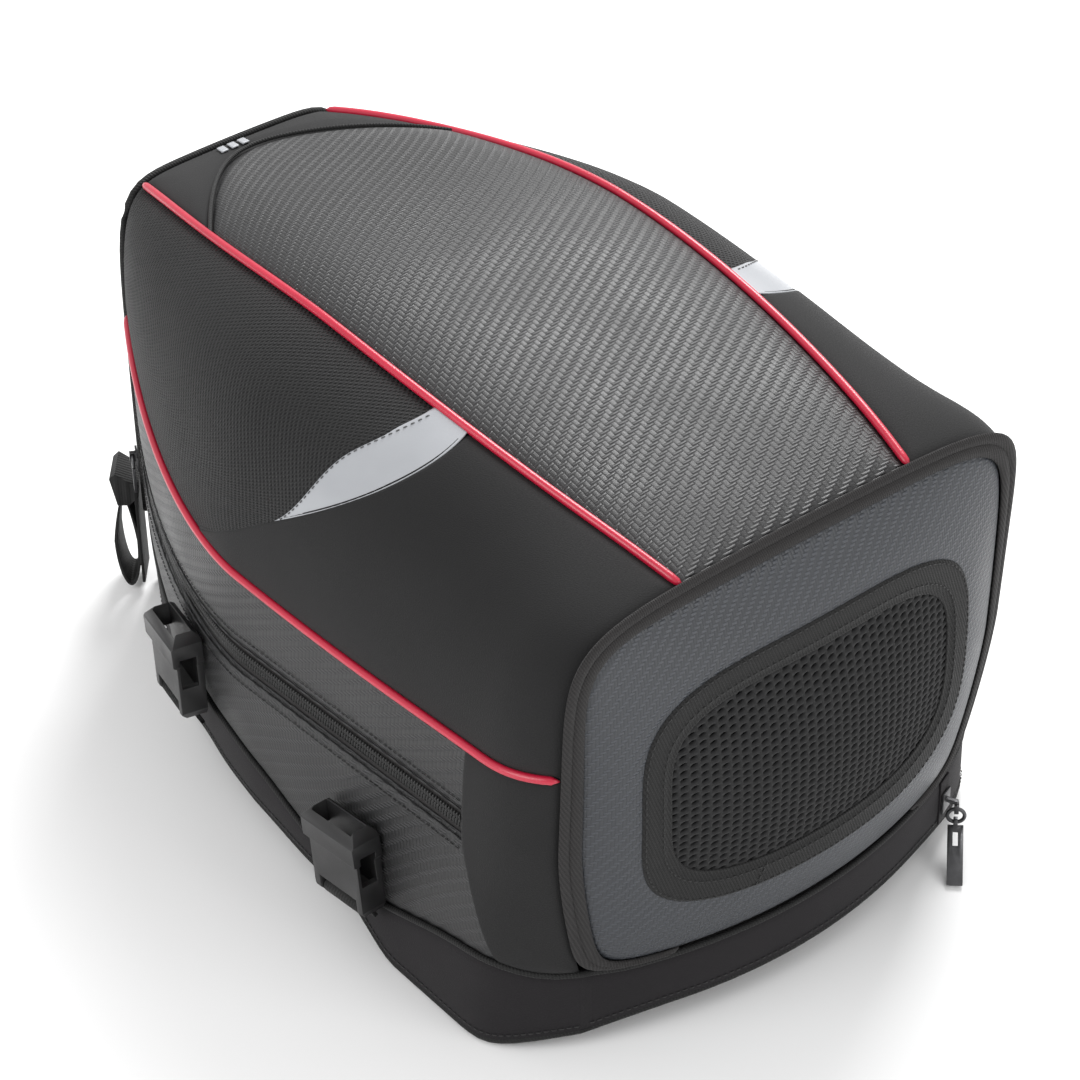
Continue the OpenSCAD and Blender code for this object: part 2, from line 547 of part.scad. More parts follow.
// ---------- what is drawn ----------
base_panel();
base_board();
base_band();
base_piping();
base_binding();
floor_pad();
top_panel();
top_foam();
rear_yoke();
yoke_cord();
yoke_patch();
rear_panel();
rear_binding();
door_zip_frame();
door_zip_tail();
side_mesh();  // side_mesh_left
mirror([1, 0, 0]) side_mesh();  // side_mesh_right
reflective();  // reflective_left
mirror([1, 0, 0]) reflective();  // reflective_right
side_softshell();  // side_softshell_left
mirror([1, 0, 0]) side_softshell();  // side_softshell_right
pocket_strip();  // pocket_strip_left
mirror([1, 0, 0]) pocket_strip();  // pocket_strip_right
pocket_panel();  // pocket_panel_left
mirror([1, 0, 0]) pocket_panel();  // pocket_panel_right
corner_gusset();  // corner_gusset_left
mirror([1, 0, 0]) corner_gusset();  // corner_gusset_right
pocket_zip();  // pocket_zip_left
mirror([1, 0, 0]) pocket_zip();  // pocket_zip_right
pocket_bag();  // pocket_bag_left
mirror([1, 0, 0]) pocket_bag();  // pocket_bag_right
side_foam();  // side_foam_left
mirror([1, 0, 0]) side_foam();  // side_foam_right
piping_top();  // piping_top_left
mirror([1, 0, 0]) piping_top();  // piping_top_right
piping_lower();  // piping_lower_left
mirror([1, 0, 0]) piping_lower();  // piping_lower_right
door_panel();
door_zip_tape();
window_binding();
window_mesh();
door_slider();
door_pull();
door_pull_tab();
pocket_slider();  // pocket_slider_left
mirror([1, 0, 0]) pocket_slider();  // pocket_slider_right
pocket_pull();  // pocket_pull_left
mirror([1, 0, 0]) pocket_pull();  // pocket_pull_right
at_buckle(FRONT_BUCKLE) strap_tab(FRONT_BUCKLE[3]);  // strap_tab_left_front
at_buckle(REAR_BUCKLE) strap_tab(REAR_BUCKLE[3]);  // strap_tab_left_rear
mirror([1, 0, 0]) at_buckle(FRONT_BUCKLE) strap_tab(FRONT_BUCKLE[3]);  // strap_tab_right_front
mirror([1, 0, 0]) at_buckle(REAR_BUCKLE) strap_tab(REAR_BUCKLE[3]);  // strap_tab_right_rear
at_buckle(FRONT_BUCKLE) buckle();  // buckle_left_front
at_buckle(REAR_BUCKLE) buckle();  // buckle_left_rear
mirror([1, 0, 0]) at_buckle(FRONT_BUCKLE) buckle();  // buckle_right_front
mirror([1, 0, 0]) at_buckle(REAR_BUCKLE) buckle();  // buckle_right_rear
rear_strap();  // rear_strap_left
mirror([1, 0, 0]) rear_strap();  // rear_strap_right
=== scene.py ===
# Tank bag: the visual model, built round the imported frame. Lengths are millimetres until a mesh is made.
import json
import math

import bmesh
import bpy
from mathutils import Matrix, Vector, noise


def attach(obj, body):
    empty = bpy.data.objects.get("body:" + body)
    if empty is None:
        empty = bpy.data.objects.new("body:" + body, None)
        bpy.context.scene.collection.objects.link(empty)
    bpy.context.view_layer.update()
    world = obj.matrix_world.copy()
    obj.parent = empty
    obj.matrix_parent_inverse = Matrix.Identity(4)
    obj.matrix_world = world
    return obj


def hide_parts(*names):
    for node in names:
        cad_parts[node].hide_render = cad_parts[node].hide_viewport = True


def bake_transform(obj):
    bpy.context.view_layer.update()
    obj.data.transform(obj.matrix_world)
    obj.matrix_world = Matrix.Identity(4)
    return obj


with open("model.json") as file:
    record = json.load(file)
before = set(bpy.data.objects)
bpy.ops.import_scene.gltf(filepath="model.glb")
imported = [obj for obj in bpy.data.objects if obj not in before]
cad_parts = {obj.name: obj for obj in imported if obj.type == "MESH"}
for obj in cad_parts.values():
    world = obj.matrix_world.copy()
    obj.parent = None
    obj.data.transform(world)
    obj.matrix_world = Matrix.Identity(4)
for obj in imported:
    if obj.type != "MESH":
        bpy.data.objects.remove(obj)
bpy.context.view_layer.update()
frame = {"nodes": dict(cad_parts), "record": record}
MM = 0.001

# ---------- camera ----------
CAMERA_AT = (-778.7, -993.3, 1072.2)
CAMERA_AZ, CAMERA_EL, CAMERA_ROLL = map(math.radians, (-38.87, 37.35, -0.75))
CAMERA_LENS = 115.5


def make_camera():
    back = Vector((math.sin(CAMERA_AZ) * math.cos(CAMERA_EL),
                   -math.cos(CAMERA_AZ) * math.cos(CAMERA_EL), math.sin(CAMERA_EL)))
    right = Vector((math.cos(CAMERA_AZ), math.sin(CAMERA_AZ), 0))
    up = back.cross(right)
    turned = math.cos(CAMERA_ROLL) * right + math.sin(CAMERA_ROLL) * up
    up = back.cross(turned)
    data = bpy.data.cameras.new("camera")
    data.lens = CAMERA_LENS
    data.clip_end = 20
    cam = bpy.data.objects.new("camera", data)
    bpy.context.scene.collection.objects.link(cam)
    cam.matrix_world = Matrix.Translation(Vector(CAMERA_AT) * MM) @ Matrix(
        (turned, up, back)).transposed().to_4x4()
    bpy.context.scene.camera = cam


make_camera()

# ---------- the bag's shape, as in the CAD model ----------
# k runs along the bag from -1 at the door to 1 at the rear, v across it from -1 at the left to 1 at the
# right, and s up the upper side from its lower seam to its top one. Left is -X. The knot lists pair a
# distance along the bag with a value there.
MID_Y = 14.3
BELLY_W, REAR_W = 137, 67
ROOF_Z, ROOF_DROP = 262, 33
FRONT_LEN, REAR_LEN, BODY_LEN = 201, 185, 205
FOOT_DROP = 12
DOOR_W, DOOR_FOOT_W = 124, 110
DOOR_Z0, DOOR_H = 42, 189
WINDOW_W, WINDOW_H, WINDOW_Z, WINDOW_TAPE = 93, 62, 130, 14
WAIST_Z = 72
CORNER_LEN, FOOT_CORNER_LEN = 36, 46
ZIP_HALF = 7
WINDOW_N = 3.8
SEAM_Z = [(-205, 43), (-180, 48), (-75, 27), (30, 44), (185, 46)]
HEM_Z = [(-205, 0.6), (-172, 0.02), (-116, 0.02), (-74, 1), (50, 1), (100, 0.02), (185, 0.02)]
SKIRT = [(-205, 5), (-115, 5), (-60, 1), (20, -6), (185, -4)]


def mix(a, b, t):
    return a + (b - a) * t


def clamp(t):
    return min(1.0, max(0.0, t))


def ease(t):
    t = clamp(t)
    return t * t * (3 - 2 * t)


def through(knots, t):
    """Value at t of a smooth run through (place, value) knots."""
    if t <= knots[0][0]:
        return knots[0][1]
    for (a, va), (b, vb) in zip(knots, knots[1:]):
        if t <= b:
            return mix(va, vb, ease((t - a) / (b - a)))
    return knots[-1][1]


def to_y(k):
    return k * BODY_LEN if k < 0 else k * REAR_LEN


def to_k(y):
    return y / BODY_LEN if y < 0 else y / REAR_LEN


def rounding(k, length):
    """1 at the door, falling to 0 over length."""
    share = (1 + k) * BODY_LEN / length
    return 0 if share > 1 else (1 - max(0, share)) ** 2.5


def wall_w(k):
    if k < 0:
        return BELLY_W - (BELLY_W - DOOR_W) * rounding(k, CORNER_LEN)
    return REAR_W + (BELLY_W - REAR_W) * (1 - k ** 1.6)


def roof(k):
    return ROOF_Z - ROOF_DROP * abs(k) ** 1.8


def squareness(k):
    """Power of the arch's superellipse: higher is squarer."""
    return 4.1 + 3.9 * abs(k) ** (8 if k < 0 else 4)


def door_half(z):
    return DOOR_W - (DOOR_W - DOOR_FOOT_W) * max(0, 1 - max(0, z - DOOR_Z0) / 80) ** 1.5


def door_y(x, z):
    t = clamp((z - DOOR_Z0) / DOOR_H)
    b = 1 - min(1, abs(x) / door_half(z)) ** 2
    return MID_Y - FRONT_LEN - 10 * t - b * (24 * (1 - t) - 5 * t + 17 * math.sin(math.pi * t))


def rear_y(x, z):
    t = clamp(z / roof(1))
    b = 1 - min(1, abs(x) / REAR_W) ** 2
    return MID_Y + REAR_LEN + b * (3 + 4 * math.sin(math.pi * t))


def station_y(k, x, z):
    return MID_Y - k * (door_y(x, z) - MID_Y) if k < 0 else MID_Y + k * (rear_y(x, z) - MID_Y)


def wall_x(k, z):
    n = squareness(k)
    lift = max(0, z - WAIST_Z) / (roof(k) - WAIST_Z)
    foot = rounding(k, FOOT_CORNER_LEN)
    width = (wall_w(k) + through(SKIRT, to_y(k)) * max(0, 1 - z / 90) * (1 - foot)
             - (DOOR_W - door_half(z)) * foot)
    return width * max(0, 1 - lift ** n) ** (1 / n)


def wall_pt(k, z):
    x = wall_x(k, z)
    return Vector((-x, station_y(k, x, z), z))


def arch_pt(k, a):
    """Point of the arch at station k, by its angle in degrees about the waist line; 0 is the right."""
    n, w, h = squareness(k), wall_w(k), roof(k) - WAIST_Z
    c, s = math.cos(math.radians(a)), math.sin(math.radians(a))
    r = 1 / (abs(c / w) ** n + abs(s / h) ** n) ** (1 / n)
    return Vector((r * c, station_y(k, r * c, WAIST_Z + r * s), WAIST_Z + r * s))


def low_seam_z(k):
    return 150 + 13 * k * k


def low_seam_a(k):
    z = low_seam_z(k)
    return math.degrees(math.atan2(z - WAIST_Z, wall_x(k, z)))


def top_seam_a(k):
    n, h = squareness(k), roof(k) - WAIST_Z
    x = 80 - 6 * k - (24 if k < 0 else 22) * k * k
    return math.degrees(math.atan2(h * (1 - (x / wall_w(k)) ** n) ** (1 / n), x))


def zip_z(k):
    y = k * 195
    return 102 - 0.07 * y + (0.0002 * y * y if y > 0 else 0)


def band_z(k):
    return through(SEAM_Z, to_y(k))


def hem_z(k):
    return FOOT_DROP * through(HEM_Z, to_y(k))


def front_hem(v):
    return FOOT_DROP * (1 - 0.4 * (max(0, abs(v) - 0.6) / 0.4) ** 2)


def side_pt(k, s):
    return arch_pt(k, 180 - mix(low_seam_a(k), top_seam_a(k), s))


def softshell_k(s):
    return to_k(39 - 130 * (1 - (1 - s) ** 1.6))


def front_edge_k(s):
    """The softshell's rear edge as cut: it bows towards the door along the reflective strip."""
    return softshell_k(s) - (0.05 * math.sin(math.pi * ((s - 0.3) / 0.7) ** 1.1) if s > 0.3 else 0)


def mesh_k(s):
    return to_k(39 - 130 * (1 - (1 - s) ** 1.6) + 19 * ease((s - 0.32) / 0.4))


def yoke_k(v):
    return to_k(166 - 63 * v * v)


def gusset_k(z):
    return to_k(-158 - 24 * max(0, (110 - z) / 63) ** 1.5)


def roof_pt(k, v):
    a = top_seam_a(k)
    return arch_pt(k, mix(180 - a, a, (v + 1) / 2))


def on_door(x, z, lift=0):
    return Vector((x, door_y(x, z) - lift, z))


def door_rim(a, by):
    """Outline of the door by angle in degrees about the window's centre, inset by by."""
    c, s = math.cos(math.radians(a)), math.sin(math.radians(a))
    n = 8 if s > 0 else 14
    h = DOOR_Z0 + DOOR_H - WINDOW_Z - by if s > 0 else WINDOW_Z - DOOR_Z0 - min(by, 0.8)
    r = 1 / (abs(c / DOOR_W) ** n + abs(s / h) ** n) ** (1 / n)
    z = WINDOW_Z + r * s
    return r * c * (door_half(z) - by) / DOOR_W, z


def window_rim(a, by):
    """Outline of the window by angle in degrees about its centre, inset by by."""
    n, w, h = WINDOW_N, WINDOW_W - by, WINDOW_H - by
    c, s = math.cos(math.radians(a)), math.sin(math.radians(a))
    r = 1 / (abs(c / w) ** n + abs(s / h) ** n) ** (1 / n)
    return r * c, WINDOW_Z + r * s


def rim_a(t):
    """Angle at share t round a rim, crowded towards its corners."""
    a = math.tau * t
    return math.degrees(a) - 7 * math.sin(2 * a) * (1 + 0.2 * math.cos(2 * a))


# ---------- materials ----------
class Graph:
    """A material's node tree, with short calls for the nodes that the fabrics need."""

    def __init__(self, name):
        self.mat = bpy.data.materials.new(name)
        self.mat.use_nodes = True
        self.tree = self.mat.node_tree
        self.bsdf = self.tree.nodes["Principled BSDF"]

    def put(self, socket, value):
        if isinstance(value, bpy.types.NodeSocket):
            self.tree.links.new(value, socket)
        else:
            socket.default_value = value

    def node(self, kind, inputs=(), **settings):
        n = self.tree.nodes.new("ShaderNode" + kind)
        for key, value in settings.items():
            setattr(n, key, value)
        for key, value in dict(inputs).items():
            self.put(n.inputs[key], value)
        return n

    def math(self, operation, a, b=0.0, c=0.0):
        n = self.node("Math", operation=operation)
        for socket, value in zip(n.inputs, (a, b, c)):
            self.put(socket, value)
        return n.outputs[0]

    def place(self, by_uv=True):
        """Coordinates in millimetres: along the cloth, or in the frame."""
        source = self.node("UVMap", uv_map="cloth").outputs[0] if by_uv \
            else self.node("TexCoord").outputs["Object"]
        return self.node("VectorMath", {0: source, 3: 1000.0}, operation="SCALE").outputs[0]

    def split(self, vector):
        return self.node("SeparateXYZ", {0: vector}).outputs

    def noise(self, place, size, detail=2.0):
        return self.node("TexNoise", {"Vector": place, "Scale": 1 / size, "Detail": detail}).outputs["Fac"]

    def range(self, value, low, high, to_low, to_high):
        return self.node("MapRange", {0: value, 1: low, 2: high, 3: to_low, 4: to_high}).outputs[0]

    def tint(self, factor, dark, light):
        n = self.node("Mix", data_type="RGBA")
        self.put(n.inputs[0], factor)
        n.inputs[6].default_value = (*dark, 1)
        n.inputs[7].default_value = (*light, 1)
        return n.outputs[2]

    def finish(self, color, rough, height, depth, sheen=0.0, specular=0.5, metallic=0.0, coat=0.0):
        self.put(self.bsdf.inputs["Base Color"], color)
        self.put(self.bsdf.inputs["Roughness"], rough)
        self.bsdf.inputs["Sheen Weight"].default_value = sheen
        self.bsdf.inputs["Sheen Roughness"].default_value = 0.5
        self.bsdf.inputs["Specular IOR Level"].default_value = specular
        self.bsdf.inputs["Metallic"].default_value = metallic
        self.bsdf.inputs["Coat Weight"].default_value = coat
        self.bsdf.inputs["Coat Roughness"].default_value = 0.25
        bump = self.node("Bump", {"Height": height, "Distance": depth * MM, "Strength": 1.0})
        self.put(self.bsdf.inputs["Normal"], bump.outputs[0])
        return self.mat


def twill_vinyl(name, dark, light, cell, depth, rough):
    """Vinyl embossed like a two-over-two twill; cell is one crossing's width and height."""
    g = Graph(name)
    place = g.place()
    wobble = g.math("MULTIPLY", g.noise(place, 9), 0.35)
    x, y, _ = g.split(place)
    across = g.math("ADD", g.math("DIVIDE", x, cell[0]), wobble)
    along = g.math("DIVIDE", y, cell[1])
    row = g.math("FLOOR", along)
    phase = g.math("FRACT", g.math("DIVIDE", g.math("SUBTRACT", across, row), 4.0))
    over = g.math("MAXIMUM", g.math("SINE", g.math("MULTIPLY", phase, math.tau)), 0.0)
    over = g.math("POWER", over, 0.45)
    weft = g.math("POWER", g.math("ABSOLUTE", g.math("SINE", g.math("MULTIPLY", along, math.pi))), 0.6)
    warp = g.math("POWER", g.math("ABSOLUTE", g.math("SINE", g.math("MULTIPLY", across, math.pi))), 0.6)
    height = g.math("ADD", g.math("MULTIPLY", over, weft),
                    g.math("MULTIPLY", g.math("SUBTRACT", 1.0, over), g.math("MULTIPLY", warp, 0.3)))
    grain = g.noise(place, 0.5, 3.0)
    height = g.math("ADD", height, g.math("MULTIPLY", grain, 0.25))
    patches = g.noise(place, 45)
    shade = g.math("ADD", g.math("MULTIPLY", height, 0.75), g.math("MULTIPLY", patches, 0.3))
    return g.finish(g.tint(shade, dark, light), g.range(patches, 0.3, 0.7, rough - 0.05, rough + 0.06),
                    height, depth, specular=0.5)


def dotted_fabric(name, dark, light, pitch, depth):
    """Fabric with a staggered field of small dimples, painted dark inside as painted shade."""
    g = Graph(name)
    place = g.place()
    x, y, _ = g.split(place)
    row = g.math("DIVIDE", y, pitch * 0.5)
    shift = g.math("MULTIPLY", g.math("MODULO", g.math("FLOOR", row), 2.0), 0.5)
    a = g.math("SUBTRACT", g.math("FRACT", g.math("ADD", g.math("DIVIDE", x, pitch), shift)), 0.5)
    b = g.math("SUBTRACT", g.math("FRACT", row), 0.5)
    b_squared = g.math("MULTIPLY", b, b)
    far = g.math("SQRT", g.math("ADD", g.math("MULTIPLY", a, a), g.math("MULTIPLY", b_squared, 0.5)))
    height = g.range(far, 0.12, 0.36, 0.0, 1.0)
    grain = g.noise(place, 0.6, 3.0)
    height = g.math("ADD", height, g.math("MULTIPLY", grain, 0.4))
    # Painted shade: the colour follows the dimples' height and is near black in each dimple.
    return g.finish(g.tint(height, dark, light), g.range(grain, 0.3, 0.7, 0.6, 0.78), height, depth,
                    sheen=0.03, specular=0.3)


def softshell_fabric(name, dark, light, by_uv=True):
    """Matte softshell: a soft nap, a few pale specks of lint and slow changes of shade."""
    g = Graph(name)
    place = g.place(by_uv)
    nap = g.noise(place, 0.7, 4.0)
    slow = g.noise(place, 60)
    lint = g.node("TexVoronoi", {"Vector": place, "Scale": 0.11, "Randomness": 1.0}).outputs["Distance"]
    speck = g.range(lint, 0.02, 0.045, 1.0, 0.0)
    shade = g.math("ADD", g.math("MULTIPLY", nap, 0.5), g.math("MULTIPLY", slow, 0.5))
    shade = g.math("ADD", shade, g.math("MULTIPLY", speck, 0.55))
    return g.finish(g.tint(shade, dark, light), g.range(nap, 0.3, 0.7, 0.72, 0.88), nap, 0.18,
                    sheen=0.05, specular=0.25)


def ribbed_tape(name, dark, light, pitch, depth, by_uv=True, axis=0, twill=0.35):
    """Woven tape or webbing with fine ribs across it; twill slants them."""
    g = Graph(name)
    place = g.place(by_uv)
    parts = g.split(place)
    slanted = g.math("ADD", parts[axis], g.math("MULTIPLY", parts[1 - axis], twill))
    rib = g.math("SINE", g.math("MULTIPLY", slanted, math.tau / pitch))
    thread = g.math("SINE", g.math("MULTIPLY", parts[1 - axis], math.tau / (pitch * 0.8)))
    crossed = g.math("MULTIPLY", g.math("MULTIPLY", rib, thread), 0.2)
    height = g.math("ADD", g.math("MULTIPLY", rib, 0.35), crossed)
    height = g.math("ADD", height, 0.5)
    fuzz = g.noise(place, 0.5, 3.0)
    height = g.math("ADD", height, g.math("MULTIPLY", fuzz, 0.3))
    return g.finish(g.tint(height, dark, light), g.range(fuzz, 0.3, 0.7, 0.6, 0.8), height, depth,
                    sheen=0.04, specular=0.3)


def smooth_vinyl(name, dark, light, rough, grain_size=1.2, depth=0.08, by_uv=True, coat=0.0):
    g = Graph(name)
    place = g.place(by_uv)
    grain = g.noise(place, grain_size, 3.0)
    slow = g.noise(place, 30)
    return g.finish(g.tint(slow, dark, light), g.range(grain, 0.3, 0.7, rough - 0.06, rough + 0.08),
                    grain, depth, coat=coat)


def moulded_plastic(name):
    g = Graph(name)
    place = g.place(False)
    spark = g.noise(place, 0.35, 2.0)
    slow = g.noise(place, 14)
    return g.finish(g.tint(slow, (0.011, 0.011, 0.0115), (0.019, 0.0185, 0.019)),
                    g.range(slow, 0.3, 0.7, 0.36, 0.46), spark, 0.05, specular=0.5)


def gunmetal(name):
    g = Graph(name)
    place = g.place(False)
    drawn_out = g.node("VectorMath", {0: place, 1: (1.0, 1.0, 0.15)}, operation="MULTIPLY").outputs[0]
    scratch = g.noise(drawn_out, 0.5)
    slow = g.noise(place, 4)
    return g.finish(g.tint(slow, (0.06, 0.06, 0.062), (0.12, 0.12, 0.125)),
                    g.range(scratch, 0.3, 0.7, 0.28, 0.45), scratch, 0.03, metallic=0.85)


def knit(name, dark, light, by_uv=True):
    """The inside lining: a fine plain knit."""
    return ribbed_tape(name, dark, light, 1.4, 0.2, by_uv, 0, 0.0)


BLACK_TAPE = ((0.002, 0.002, 0.002), (0.013, 0.013, 0.013))
BAND_BLACK = ((0.005, 0.0042, 0.005), (0.013, 0.011, 0.013))
LINING_GREY = ((0.02, 0.02, 0.022), (0.05, 0.05, 0.053))

MATERIALS = {
    "carbon_vinyl": twill_vinyl("carbon_vinyl", (0.0025, 0.0025, 0.0025), (0.03, 0.03, 0.0315),
                                (2.6, 1.5), 0.5, 0.46),
    "slate_vinyl": twill_vinyl("slate_vinyl", (0.012, 0.0135, 0.016), (0.048, 0.053, 0.063),
                               (1.5, 1.4), 0.34, 0.38),
    "side_fabric": dotted_fabric("side_fabric", (0.0003, 0.0003, 0.0003), (0.011, 0.011, 0.0115), 3.0, 1.0),
    "softshell": softshell_fabric("softshell", (0.005, 0.005, 0.0052), (0.014, 0.0137, 0.0142)),
    "band_softshell": softshell_fabric("band_softshell", *BAND_BLACK),
    "rear_fabric": twill_vinyl("rear_fabric", (0.004, 0.004, 0.004), (0.022, 0.022, 0.023),
                               (1.7, 1.5), 0.25, 0.5),
    "silver_reflective": smooth_vinyl("silver_reflective", (0.3, 0.31, 0.33), (0.38, 0.39, 0.41),
                                      0.38, 0.5, 0.04),
    "red_piping": smooth_vinyl("red_piping", (0.42, 0.006, 0.03), (0.55, 0.012, 0.045),
                               0.34, 1.0, 0.12, coat=0.3),
    "grosgrain": ribbed_tape("grosgrain", *BLACK_TAPE, 1.5, 0.3),
    "zip_tape": ribbed_tape("zip_tape", (0.005, 0.0045, 0.0045), (0.025, 0.023, 0.023), 1.1, 0.25),
    "spacer_mesh": softshell_fabric("spacer_mesh", (0.009, 0.009, 0.009), (0.022, 0.022, 0.023)),
    "lining": knit("lining", *LINING_GREY),
    "lining_solid": knit("lining_solid", *LINING_GREY, False),
    "webbing": ribbed_tape("webbing", (0.002, 0.002, 0.002), (0.012, 0.012, 0.012),
                           1.8, 0.3, False, 1, 0.3),
    "thread": smooth_vinyl("thread", (0.006, 0.006, 0.006), (0.014, 0.014, 0.014), 0.5, by_uv=False),
    "grey_thread": smooth_vinyl("grey_thread", (0.06, 0.06, 0.062), (0.1, 0.1, 0.102), 0.5, by_uv=False),
    "coil": smooth_vinyl("coil", (0.004, 0.004, 0.004), (0.008, 0.008, 0.008), 0.3, by_uv=False),
    "moulded_plastic": moulded_plastic("moulded_plastic"),
    "gunmetal": gunmetal("gunmetal"),
    "dark_solid": softshell_fabric("dark_solid", *BAND_BLACK, False),
}

# ---------- piece builders ----------
SIDES = (("left", 1), ("right", -1))
BENDS = "bends"
CROWDING = 0.85
EVEN = (0.3, 0.3)
PUFF_REACH, WAVE_REACH = 14, 20
LONG_WAVE, SHORT_WAVE = 55, 24


def add_piece(name, verts, faces, uvs, material, body, nodes=(), thick=0.0):
    """Makes one object from millimetre points; uvs are metres along the cloth, one per vertex."""
    mesh = bpy.data.meshes.new(name)
    mesh.from_pydata([Vector(v) * MM for v in verts], [], faces)
    if uvs:
        layer = mesh.uv_layers.new(name="cloth")
        for loop in mesh.loops:
            layer.data[loop.index].uv = uvs[loop.vertex_index]
    mesh.shade_smooth()
    mesh.materials.append(MATERIALS[material])
    piece = bpy.data.objects.new(name, mesh)
    bpy.context.scene.collection.objects.link(piece)
    if thick:
        mod = piece.modifiers.new("thickness", "SOLIDIFY")
        mod.thickness = thick * MM
        mod.offset = -1
    if body != BENDS:
        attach(piece, body)
    if nodes:
        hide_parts(*nodes)
    return piece


def crowd(t, strength=CROWDING):
    """Spreads steps 0 to 1 so that they crowd towards both ends."""
    return mix(t, 0.5 - 0.5 * math.cos(math.pi * t), strength)


def soft_noise(p, size):
    return noise.noise(Vector(p) / size)


def pillow(puff, sink, roll, edges=(1, 1, 1, 1), waves=0.35):
    """Height over the skin: sunk at the chosen edges (u0, u1, v0, v1), puffed between, gently uneven."""
    def lift(point, d):
        near = min([dist for dist, on in zip(d, edges) if on], default=99)
        h = puff * (1 - math.exp(-near / PUFF_REACH)) - sink * math.exp(-(near / roll) ** 1.4)
        uneven = soft_noise(point, LONG_WAVE) + 0.5 * soft_noise(point, SHORT_WAVE)
        return h + waves * (1 - math.exp(-near / WAVE_REACH)) * uneven
    return lift


BAG_CENTRE = Vector((0, MID_Y, 100))


def surface_grid(f, nu, nv, lift, crowd_u, crowd_v):
    """Points of f(u, v) moved outwards by lift, metres along the cloth, and the way the faces wind.

    lift gets the point and its distances in millimetres from the edges u0, u1, v0 and v1.
    """
    us = [crowd(i / nu, crowd_u) for i in range(nu + 1)]
    vs = [crowd(j / nv, crowd_v) for j in range(nv + 1)]
    base = [[f(u, v) for v in vs] for u in us]
    along = [[0.0] * (nv + 1) for _ in us]
    across = [[0.0] * (nv + 1) for _ in us]
    for i in range(nu + 1):
        for j in range(nv + 1):
            if i:
                along[i][j] = along[i - 1][j] + (base[i][j] - base[i - 1][j]).length
            if j:
                across[i][j] = across[i][j - 1] + (base[i][j] - base[i][j - 1]).length
    points, uvs = [], []
    a, b = nu // 2, nv // 2
    middle = (base[a + 1][b] - base[a][b]).cross(base[a][b + 1] - base[a][b])
    out = 1 if middle.dot(base[a][b] - BAG_CENTRE) > 0 else -1
    for i in range(nu + 1):
        for j in range(nv + 1):
            du = base[min(nu, i + 1)][j] - base[max(0, i - 1)][j]
            dv = base[i][min(nv, j + 1)] - base[i][max(0, j - 1)]
            n = du.cross(dv)
            n = n.normalized() * out if n.length > 1e-9 else Vector((0, 0, 1))
            d = (along[i][j], along[nu][j] - along[i][j], across[i][j], across[i][nv] - across[i][j])
            points.append(base[i][j] + n * lift(base[i][j], d))
            uvs.append(((across[i][j] - across[i][nv] / 2) * MM, along[i][j] * MM))
    return points, uvs, out


def grid_faces(nu, nv, out):
    m = nv + 1
    quads = [(i * m + j, (i + 1) * m + j, (i + 1) * m + j + 1, i * m + j + 1)
             for i in range(nu) for j in range(nv)]
    return quads if out > 0 else [q[::-1] for q in quads]


def cloth(name, f, size, material, nodes, lift, thick=1.6, turn_uv=False,
          mirror=False, crowds=(CROWDING, CROWDING)):
    """A fabric panel over f(u, v); mirror also makes the right-hand one, and names both by side."""
    nu, nv = size
    points, uvs, out = surface_grid(f, nu, nv, lift, *crowds)
    if turn_uv:
        uvs = [(-b, a) for a, b in uvs]
    for side, sign in SIDES if mirror else (("", 1),):
        tail = "_" + side if side else ""
        verts = [(p[0] * sign, p[1], p[2]) for p in points]
        faces = grid_faces(nu, nv, out * sign)
        add_piece(name + tail, verts, faces, uvs, material, "bag", [n + tail for n in nodes], thick)


def frames_along(path, closed):
    """Each point's tangent, side and up directions along a path."""
    count = len(path)
    result = []
    for i, p in enumerate(path):
        a = path[(i + 1) % count if closed else min(count - 1, i + 1)]
        b = path[(i - 1) % count if closed else max(0, i - 1)]
        t = (a - b).normalized()
        s = t.cross(Vector((0, 1, 0)) if abs(t.z) > 0.9 else Vector((0, 0, 1))).normalized()
        result.append((p, t, s, s.cross(t)))
    return result


def cord_mesh(path, radius, sides=12, closed=False, taper=0.0):
    """Rings along a path; taper is the length over which open ends narrow."""
    verts, faces, uvs = [], [], []
    count, far, total = len(path), 0.0, sum((b - a).length for a, b in zip(path, path[1:]))
    for i, (p, t, s, u) in enumerate(frames_along(path, closed)):
        if i:
            far += (path[i] - path[i - 1]).length
        r = radius
        if taper:
            r *= max(0.15, min(1, math.sqrt(min(far, total - far) / taper)))
        for q in range(sides):
            a = math.tau * q / sides
            verts.append(p + r * (math.cos(a) * s + math.sin(a) * u))
            uvs.append((far * MM, a * radius * MM))
    for i in range(count if closed else count - 1):
        for q in range(sides):
            a, b, e = i * sides, (i + 1) % count * sides, (q + 1) % sides
            faces.append((a + q, a + e, b + e, b + q))
    if not closed:
        faces += [tuple(range(sides))[::-1], tuple(range((count - 1) * sides, count * sides))]
    return verts, faces, uvs


def mirrored(verts, faces, sign):
    return [(v[0] * sign, v[1], v[2]) for v in verts], faces if sign > 0 else [f[::-1] for f in faces]


def cord_piece(name, path, radius, material, slot, nodes, mirror=False, **options):
    verts, faces, uvs = cord_mesh(path, radius, **options)
    for side, sign in SIDES if mirror else (("", 1),):
        tail = "_" + side if side else ""
        v, f = mirrored(verts, faces, sign)
        add_piece(name + tail, v, f, uvs, material, "bag", [n + tail for n in nodes])


def resample(line, pitch):
    """Points and directions every pitch along a list of (point, normal)."""
    spots, left = [], pitch / 2
    for (a, na), (b, nb) in zip(line, line[1:]):
        step = (b - a).length
        while left <= step and step > 0:
            t = left / step
            spots.append((a.lerp(b, t), (b - a).normalized(), na.lerp(nb, t).normalized()))
            left += pitch
        left -= step
    return spots


